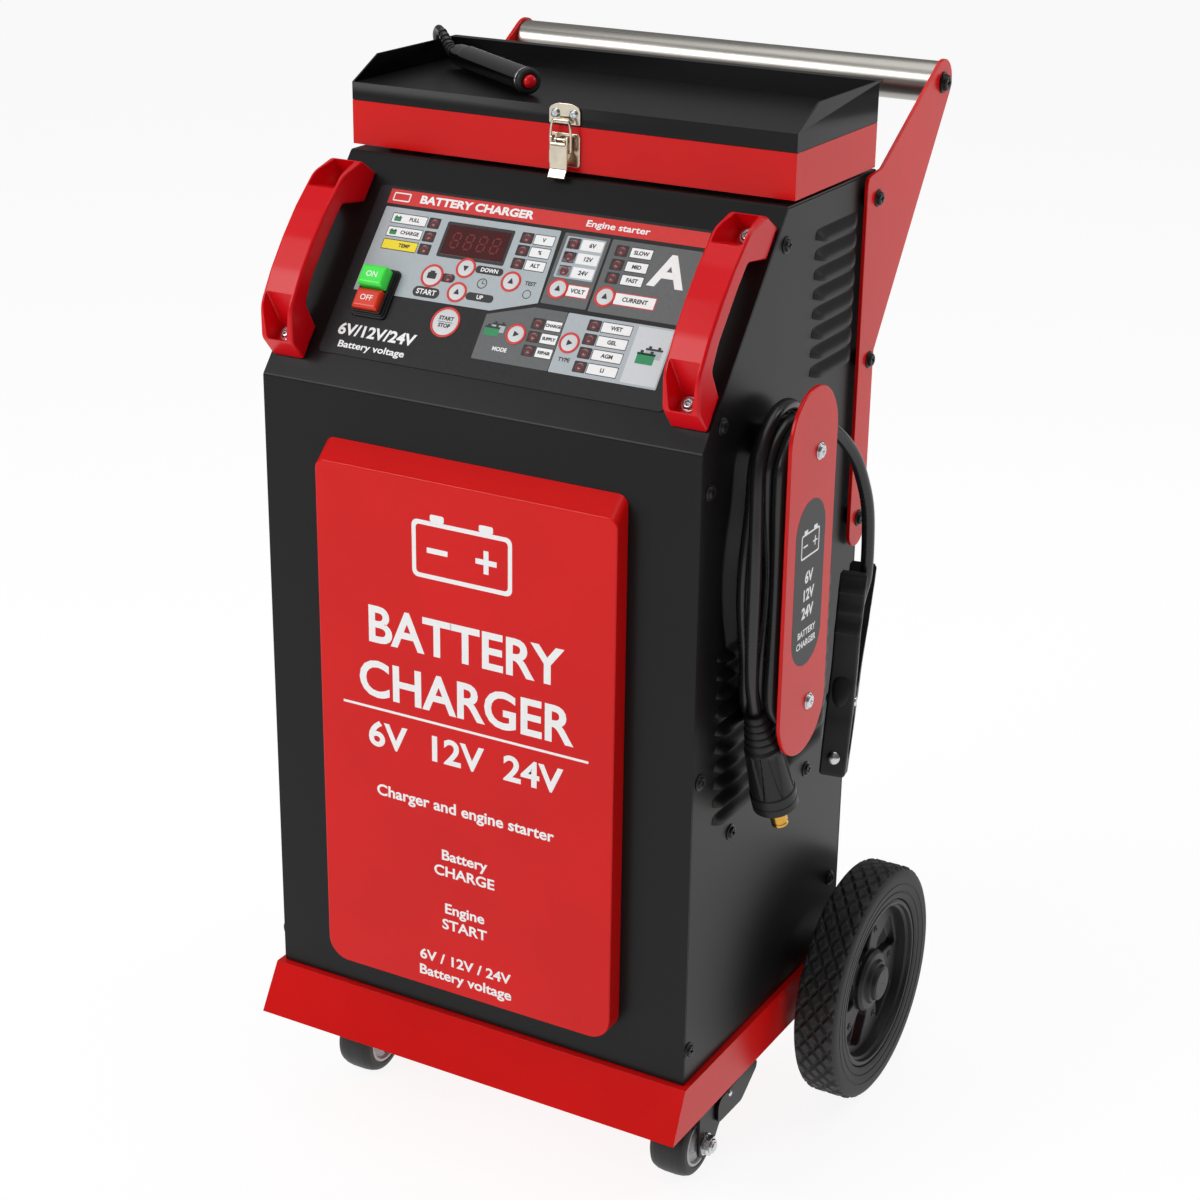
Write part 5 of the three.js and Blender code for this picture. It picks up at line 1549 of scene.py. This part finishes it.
def make_wheels():
    refined("base_tray", "cabinet", RED_PAINT, 2.4, 4, 35)
    axle = rounded_turn(rod(8, -233.7, 233.7), "x", (WHEEL_Y, WHEEL_R), 0.8, 40)
    piece("rear_axle_bar", "cabinet", [(axle, STEEL)], ["rear_axle"])
    tyre = tyre_mesh()
    rim = rim_parts()
    for name, sign in SIDES:
        place = on_side(sign)
        body = f"{name}_wheel"
        rubber = [(tyre.copy(), RUBBER)]
        piece(
            f"{name}_tyre_tread", body, rubber, [f"{name}_rear_tyre"], place,
            weight=False
        )
        copies = [(mesh.copy(), material) for mesh, material in rim]
        piece(f"{name}_rim_moulding", body, copies, [f"{name}_rear_rim"], place)


CASTOR_X, CASTOR_PIVOT_Y, CASTOR_WHEEL_Y, CASTOR_R = 150, 98.0, 70.0, 30.0
CROWN_TOP = 76.6
FORK_IN, FORK_OUT = 18.5, 21


def make_castor(name, sign):
    place = at(sign * CASTOR_X, 0, 0)
    py, wy, r = CASTOR_PIVOT_Y, CASTOR_WHEEL_Y, CASTOR_R
    top = 87.9
    mount = plate([rectangle(-30, 30, py - 33, py + 33, 6, 5)], "z", top - 3, top, 0.5, 2)
    race = [(0, top - 11), (17.6, top - 11), (23, top - 8), (23, top - 2.5), (0, top - 2.5)]
    parts = [(mount, BLACK_PAINT), (rounded_turn(race, "z", (0, py), 1.5, 56), BLACK_PAINT)]
    for dx in (-23, 23):
        for dy in (-26, 26):
            nut = moved(
                hexagon(10, 0, 4), at(dx, py + dy, top - 3) @ Matrix.Rotation(math.pi, 4, "X")
            )
            parts.append((nut, ZINC))
    node = f"{name}_castor_plate"
    piece(node + "_shape", "cabinet", parts, [node], place)
    leg = [
        (wy - 11, r - 11, 9), (wy + 12, r - 11, 9), (wy + 26, r + 8, 12), (py + 34, r + 8, 6),
        (py + 34, r + 22, 4),
        (py + 22, CROWN_TOP, 4), (wy - 2, CROWN_TOP, 8), (wy - 11, CROWN_TOP - 14, 6),
    ]
    fork = []
    for side in (-1, 1):
        a, b = sorted((side * FORK_IN, side * FORK_OUT))
        fork.append((plate([fillet(leg, 0, 5)], "x", a, b, 0.5, 2), BLACK_PAINT))
    crown = rod(24, CROWN_TOP - 4, CROWN_TOP)
    fork.append((rounded_turn(crown, "z", (0, py), 1.6, 56), BLACK_PAINT))
    fork.append((block(-19.5, 19.5, py - 16, py + 16, CROWN_TOP - 4, CROWN_TOP, 0.6), BLACK_PAINT))
    face = at(FORK_OUT, wy, r) @ FACE_RIGHT
    for mesh in (
        turned(rod(9.2, 0, 0.9), "z", sides=40),
        hexagon(14.4, 0.9, 6.0),
        rounded_turn([(0, 5.8), (6.4, 5.8), (5.8, 7.8), (0, 7.8)], "z", r=0.8, sides=36),
        rounded_turn(rod(3.9, 7, 8.9), "z", r=0.5, sides=28),
    ):
        fork.append((moved(mesh, face), ZINC))
    fork.append((moved(dome(2.7, 1.3, 0.3, 28), at(20.9, wy + 9, r + 36) @ FACE_RIGHT), ZINC))
    far = at(-FORK_OUT, wy, r) @ Matrix.Rotation(math.pi, 4, "Z") @ FACE_RIGHT
    fork.append((moved(hexagon(12.8, 0.2, 4.4), far), ZINC))
    fork.append((turned(rod(3.9, -19, 19), "x", (wy, r), 24), ZINC))
    node = f"{name}_castor_fork"
    piece(node + "_shape", node, fork, [node], place)
    h = 16.0
    tread = [
        (20, -h + 0.8), (21.5, -h), (25, -h + 0.3), (28, -h + 2.2), (29.4, -h + 6), (30, -5),
        (30, 5),
        (29.4, h - 6), (28, h - 2.2), (25, h - 0.3), (21.5, h), (20, h - 0.8),
    ]
    hub = [
        (4.3, -h + 1), (9, -h + 0.4), (10, -h + 3.5), (17, -h + 3), (18, -h + 0.4),
        (20.6, -h + 0.6), (20.6, h - 0.6),
        (18, h - 0.4), (17, h - 3), (10, h - 3.5), (9, h - 0.4), (4.3, h - 1),
    ]
    wheel = [
        (turned(fillet(tread, 1.2, 3), "x", (wy, r), 80, True), CASTOR_RUBBER),
        (turned(fillet(hub, 0.6, 3), "x", (wy, r), 64, True), GREY_PLASTIC),
    ]
    node = f"{name}_castor_wheel"
    piece(node + "_tread", node, wheel, [node], place)
    arm = [
        (py - 12, r + 10, 6), (py + 30, r + 9, 10), (py + 56, r + 26, 4), (py + 58, r + 33, 4),
        (py + 40, r + 35, 10),
        (py - 12, r + 31, 8),
    ]
    pedal = [(plate([fillet(arm, 0, 5)], "x", 21.3, 23.8, 0.4, 2), BLACK_PAINT)]
    pedal.append((block(4, 22.4, py + 41, py + 58, r + 31, r + 35, 0.9), BLACK_PAINT))
    for k in range(5):
        y = py + 43.5 + 3.1 * k
        pedal.append((block(5.5, 21, y, y + 1.4, r + 34.6, r + 35.7, 0.4), BLACK_PAINT))
    rivet = moved(dome(2.7, 1.3, 0.3, 28), at(23.7, py + 8, r + 28) @ FACE_RIGHT)
    pedal.append((rivet, ZINC))
    node = f"{name}_brake_pedal"
    piece(node + "_shape", node, pedal, [node], place)


# ------------------------------------------------------------------ inside and on the back
SOCKET_X, SOCKET_Z = 60, 300
FAN_DEPTH = 38


def make_insides():
    core = plate(
        [
            rectangle(-90, 90, 127.6, 289, 2), rectangle(-67, -23, 160, 262, 1),
            rectangle(23, 67, 160, 262, 1)
        ],
        "y", 70, 200, 0.6, 1,
    )
    parts = [(core, CORE)]
    for x in (-45, 45):
        coil = plate([rectangle(x - 44.6, x + 44.6, 52, 218, 24, 8)], "z", 164, 258, 5, 4)
        parts.append((coil, COPPER))
    piece("transformer_windings", "cabinet", parts, ["transformer"])
    refined("rectifier_heatsink", "cabinet", ALUMINIUM, 0.5)
    refined("control_board", "cabinet", BOARD, 0.4)
    back = DEPTH - SHEET - GAP
    housing = plate(
        [
            rectangle(-60, 60, FAN_Z - 60, FAN_Z + 60, 7, 6),
            circle(0, FAN_Z, 57, 96),
            *[circle(x, FAN_Z + dz, 2.2, 20) for dz in (-52, 52) for x in (-52, 52)],
        ],
        "y", back - FAN_DEPTH, back, 0.8, 2,
    )
    parts = [(housing, BLACK_PLASTIC)]
    for turn in (0, 90):
        strut = block(-58, 58, back - FAN_DEPTH, back - 35, -2.6, 2.6, 0.6)
        parts.append(
            (
                moved(strut, at(0, 0, FAN_Z) @ Matrix.Rotation(math.radians(turn), 4, "Y")),
                BLACK_PLASTIC
            )
        )
    parts.append(
        (
            rounded_turn(rod(20, back - FAN_DEPTH, back - 35), "y", (0, FAN_Z), 0.6, 48),
            BLACK_PLASTIC
        )
    )
    piece("fan_frame", "cabinet", parts, ["fan_housing"])
    front = back - 34
    hub = rounded_turn(rod(20, front, back - 6), "y", (0, FAN_Z), 2, 56)
    parts = [(hub, BLACK_PLASTIC)]
    blades = 7
    for i in range(blades):
        rings = []
        for k in range(9):
            r = 18 + (54 - 18) * k / 8
            pitch = math.radians(52 - 22 * k / 8)
            chord, thick = 12 + 0.12 * r, 1.1
            sweep = 0.22 * (k / 8) ** 2
            ring = []
            for step in range(16):
                t = 2 * math.pi * step / 16
                c = chord / 2 * math.cos(t) * 1.35
                n = thick * math.sin(t) + 1.6 * (math.cos(t) ** 2) - 0.8
                y = c * math.sin(pitch) + n * math.cos(pitch)
                side = c * math.cos(pitch) - n * math.sin(pitch)
                angle = 2 * math.pi * i / blades + sweep + side / r
                y = max(-12.5, min(12.5, y))
                ring.append(
                    (r * math.cos(angle), (front + back - 6) / 2 + y, FAN_Z + r * math.sin(angle))
                )
            rings.append(ring)
        parts.append((stitched(rings), BLACK_PLASTIC))
    piece("fan_blades", "fan_rotor", parts, ["fan_rotor"])
    face = DEPTH + GAP
    for node, x, material, slot in (
        ("output_socket_positive", SOCKET_X, RED_PLASTIC, "red_plastic"),
        ("output_socket_negative", -SOCKET_X, BLACK_PLASTIC, "black_plastic"),
    ):
        shell = [
            (0, face), (22, face), (22, face + 3), (19.6, face + 5), (19, face + 19),
            (17, face + 22),
            (8.4, face + 22), (6.8, face + 20.5), (6.8, face + 4), (0, face + 4),
        ]

        def ribbed(angle, along, r, low=face + 6, high=face + 18):
            return r - 0.7 * (
                0.5 + 0.5 * math.cos(18 * angle)
            ) if r > 17 and low < along < high else r

        dense = []
        for a, b in zip(fillet(shell, 0.7, 3, False), fillet(shell, 0.7, 3, False)[1:]):
            steps = max(1, int(math.dist(a, b) / 2))
            dense += [
                (
                    a[0] + (b[0] - a[0]) * k / steps, a[1] + (b[1] - a[1]) * k / steps
                ) for k in range(steps)
            ]
        body = turned([*dense, shell[-1]], "y", (x, SOCKET_Z), 108, False, ribbed)
        ring = rounded_turn(
            [(5.6, face + 4.2), (6.7, face + 4.2), (6.7, face + 15), (5.6, face + 15)], "y",
            (x, SOCKET_Z), 0.3, 40, closed=True
        )
        piece(node + "_shell", "cabinet", [(body, material), (ring, BRASS)], [node])
    sign_ink = [
        (words("+", 14, -SOCKET_X, SOCKET_Z + 31, 0.1, bold=0.5), WHITE_INK),
        (words("-", 14, SOCKET_X, SOCKET_Z + 31, 0.1, bold=0.5), WHITE_INK),
    ]
    place = at(0, DEPTH, 0) @ FACE_BACK
    piece("socket_signs", "cabinet", sign_ink, (), place, weight=False)
    for node, x, z, r, length in (
        ("mains_gland", 110, 190, 11, 30), ("handset_gland", -100, 720, 7, 23)
    ):
        nut = moved(hexagon(r * 2.15, 0, length * 0.42, 0.8), at(x, face, z) @ FACE_BACK)
        cone = [
            (0, face + length * 0.38), (r * 1.02, face + length * 0.38), (r, face + length * 0.6),
            (r * 0.86, face + length * 0.8),
            (r * 0.62, face + length), (r * 0.36, face + length), (r * 0.34, face + length * 0.8),
            (0, face + length * 0.8),
        ]

        def fluted(angle, along, radius, low=face + length * 0.42, high=face + length * 0.85):
            return radius * (
                1 - 0.06 * (0.5 + 0.5 * math.cos(12 * angle))
            ) if low < along < high else radius

        body = turned(fillet(cone, 0.5, 4, False), "y", (x, z), 72, False, fluted)
        piece(
            node + "_nut", "cabinet", [(nut, BLACK_PLASTIC), (body, BLACK_PLASTIC)],
            [node]
        )


# ------------------------------------------------------------------ hand switch, plug and clamp
def along_matrix(start, end):
    start, end = Vector(start), Vector(end)
    return Matrix.Translation(start) @ Vector((0, 0, 1)).rotation_difference(
        end - start
    ).to_matrix().to_4x4()


def make_hand_switch():
    start, end = (-43.7, 151.3, 836.6), (-155, 225.7, 836.6)
    length = (Vector(end) - Vector(start)).length
    place = along_matrix(start, end)
    shell = [
        (0, 8), (5.6, 8), (5.6, 0.4), (7.6, 0.0), (9.3, 0.7), (9.9, 2.4), (9.9, 5.4), (9.5, 5.9),
    ]
    tube = [
        (9.2, 7.9), (9.6, 8.3), (9.6, length - 22), (9.0, length - 16), (8.6, length - 5),
        (7.8, length - 0.6), (0, length)
    ]
    ring = [(9.0, 5.8), (9.7, 5.9), (9.85, 6.9), (9.7, 7.9), (9.0, 8.0)]
    cap = turned(fillet([*shell, (9.3, 6.2), (0, 9)], 0.7, 4, False), "z", sides=64)
    body = turned(fillet([(0, 7.6), *tube], 0.8, 4, False), "z", sides=64)
    parts = [
        (cap, BLACK_PLASTIC),
        (body, GLOSS_BLACK),
        (turned(fillet(ring, 0.3, 3), "z", sides=64, closed=True), ZINC),
    ]
    piece("hand_switch_body", "lid", parts, ["handset_body"], place)
    push = [(0, -3.2), (2.4, -2.9), (4.1, -2.0), (5.0, -0.6), (5.15, 0.6), (5.15, 1.2), (0, 1.2)]
    parts = [(turned(fillet(push, 0.8, 4, False), "z", sides=48), RED_PLASTIC)]
    piece("hand_switch_button", "handset_button", parts, ["handset_button"], place)
    path = smooth_path(
        [
            (-154, 225, 836.6), (-158, 227.8, 836.9), (-166, 233, 838.8), (-173, 238, 843.6),
            (-180.4, 242.9, 849.4)
        ],
        16
    )
    radii = []
    rings, count = 8, len(path)
    for i in range(count):
        t = i / (count - 1)
        wave = 0.5 + 0.5 * math.cos(2 * math.pi * rings * t)
        radii.append((5.9 - 2.0 * t) - 1.1 * smoothstep((0.55 - wave) / 0.4) * min(1, 8 * t))
    boot = pipe(path, radii, 28)
    piece("hand_switch_boot", "lid", [(boot, CABLE)], ["handset_boot"])


def make_plug():
    top, tip = (205, 58.2, 418.6), (215, 88.6, 317.7)
    length = (Vector(tip) - Vector(top)).length
    place = along_matrix(top, tip)
    profile = [(0, 0), (6.2, 0)]
    rings = 5
    for k in range(rings):
        r, z = 8.8 + 1.0 * k, 0.4 + 5.7 * k
        profile += [(r - 0.7, z), (r, z + 1.0), (r + 0.2, z + 4.4), (r - 0.3, z + 5.3)]
    profile += [(12.6, 29), (14, 31)]
    body_z, body_end = 31.5, 70
    steps = 26
    for k in range(steps + 1):
        z = body_z + (body_end - body_z) * k / steps
        profile.append((14.2 + 2.4 * k / steps, z))
    profile += [
        (16.4, 70.8), (17.4, 71.6), (17.5, 73), (17.5, 78), (17.1, 78.5), (17.1, 79.3),
        (17.5, 79.8), (17.4, 85.2),
        (16.4, 86.4), (7.6, 86.4), (7.4, 85), (0, 85),
    ]

    def fluted(angle, along, r):
        if not body_z < along < body_end:
            return r
        t = (along - body_z) / (body_end - body_z)
        lobes = 0.5 + 0.5 * math.cos(7 * angle)
        reach = smoothstep((lobes - (0.28 + 0.62 * t)) / 0.22)
        return r - 1.5 * reach * smoothstep(t * 9)

    body = turned(profile, "z", sides=168, shape=fluted)
    pin = [
        (0, 84), (6.5, 84), (6.5, length - 5), (6.3, length - 4.6), (5.9, length - 4.2),
        (5.9, length - 3.6),
        (6.3, length - 3.2), (6.4, length - 1.4), (5.4, length - 0.2), (0, length - 0.1),
    ]
    parts = [(body, BLACK_PLASTIC), (rounded_turn(pin, "z", r=0.3, sides=48), BRASS)]
    return piece("lead_plug_body", "cabinet", parts, ["lead_plug"], place)


CLAMP_TOP, CLAMP_LENGTH, CLAMP_PIVOT, CLAMP_HALF = (214, 215, 483), 165.0, 104.0, 10.3


def clamp_matrix():
    down = Vector((2, -34, -161)).normalized()
    across = Vector((0.966, 0.259, 0))
    across = (across - down * across.dot(down)).normalized()
    towards = down.cross(across)
    turn = Matrix((across, towards, down)).transposed().to_4x4()
    return Matrix.Translation(CLAMP_TOP) @ turn


def between(table, z):
    for (z0, v0), (z1, v1) in zip(table, table[1:]):
        if z <= z1:
            return v0 + (v1 - v0) * smoothstep((z - z0) / (z1 - z0)) if z1 > z0 else v1
    return table[-1][1]


def clamp_arm(sign):
    """One arm of the clamp: y out from the middle, z from the cable end to the jaws."""
    outer = [
        (0, 26.6), (16, 26.8), (40, 24), (88, 14.4), (118, 11.4), (150, 9.6), (CLAMP_LENGTH, 8.6)
    ]
    inner = [
        (0, 24), (40, 20), (88, 7), (96, 3), (112, 3), (118, 5.4), (143, 5.2), (152, 0.7),
        (CLAMP_LENGTH, 0.7)
    ]
    rings = []
    count = 150
    for k in range(count + 1):
        z = CLAMP_LENGTH * k / count
        y1, y0 = between(outer, z), between(inner, z)
        for ridge in (17, 33, 49):
            y1 += 1.5 * smoothstep((z - ridge + 11) / 11) * smoothstep((ridge - z) / 1.6 + 0.5)
        y1 = min(y1, 27.9)
        half = CLAMP_HALF + 0.2 * math.cos(z / 20)
        inset = 1.6 * smoothstep((3 - z) / 3) + 1.2 * smoothstep((z - CLAMP_LENGTH + 2) / 2)
        corner = min(2.0, (y1 - y0) * 0.4)
        loop = fillet(
            [
                (-half + inset, y0, 0.4), (half - inset, y0, 0.4),
                (half - inset, y1 - inset, corner), (-half + inset, y1 - inset, corner)
            ],
            0, 5,
        )
        rings.append([(u, sign * v, z) for u, v in loop])
    return stitched(rings)


def make_clamp():
    place = clamp_matrix()
    pad_z, rivet_z = 92, 150
    made = []
    for name, sign, body in (("front", 1, "cabinet"), ("rear", -1, "clamp_rear_arm")):
        parts = [(clamp_arm(sign), BLACK_PLASTIC)]
        out = Matrix.Rotation(-sign * math.pi / 2, 4, "X")
        slope_turn = Matrix.Rotation(sign * -0.19, 4, "X")
        pad = turned(
            [(0, 2.2), (4, 2.05), (6, 1.6), (7.2, 0.7), (7.6, -1.5), (0, -1.5)], "z", sides=56
        )
        pad = moved(
            pad, at(0, sign * 14.0, pad_z) @ slope_turn @ out @ Matrix.Diagonal((1, 2.15, 1, 1))
        )
        parts.append((pad, BLACK_PLASTIC))
        parts.append((moved(dome(5.4, 2.4, 0.6, 40), at(0, sign * 9.2, rivet_z) @ out), ZINC))
        if sign > 0:
            for side in (-1, 1):
                turn = Matrix.Rotation(side * math.pi / 2, 4, "Y")
                parts.append(
                    (
                        moved(
                            dome(3.9, 1.6, 0.4, 32), at(side * CLAMP_HALF, 5, CLAMP_PIVOT) @ turn
                        ),
                        ZINC
                    )
                )
        for k in range(5):
            tooth = block(-7, 7, 0.5, 1.9, 153 + 2.3 * k, 154.2 + 2.3 * k, 0.25)
            parts.append(
                (tooth if sign > 0 else moved(tooth, Matrix.Diagonal((1, -1, 1, 1))), BRASS)
            )
        node = f"clamp_{name}_arm"
        made.append(piece(node + "_grip", body, parts, [node], place))
    return made


# ------------------------------------------------------------------ everything
lead, lead_path = make_lead()
switch_cord, switch_path = make_switch_cord()
make_cabinet()
make_badge()
make_panel()
make_switch()
make_handles()
make_box()
make_latch()
make_push_frame()
make_hanger()
make_wheels()
for castor_name, castor_sign in SIDES:
    make_castor(castor_name, castor_sign)
make_insides()
make_hand_switch()
plug = make_plug()
clamps = make_clamp()
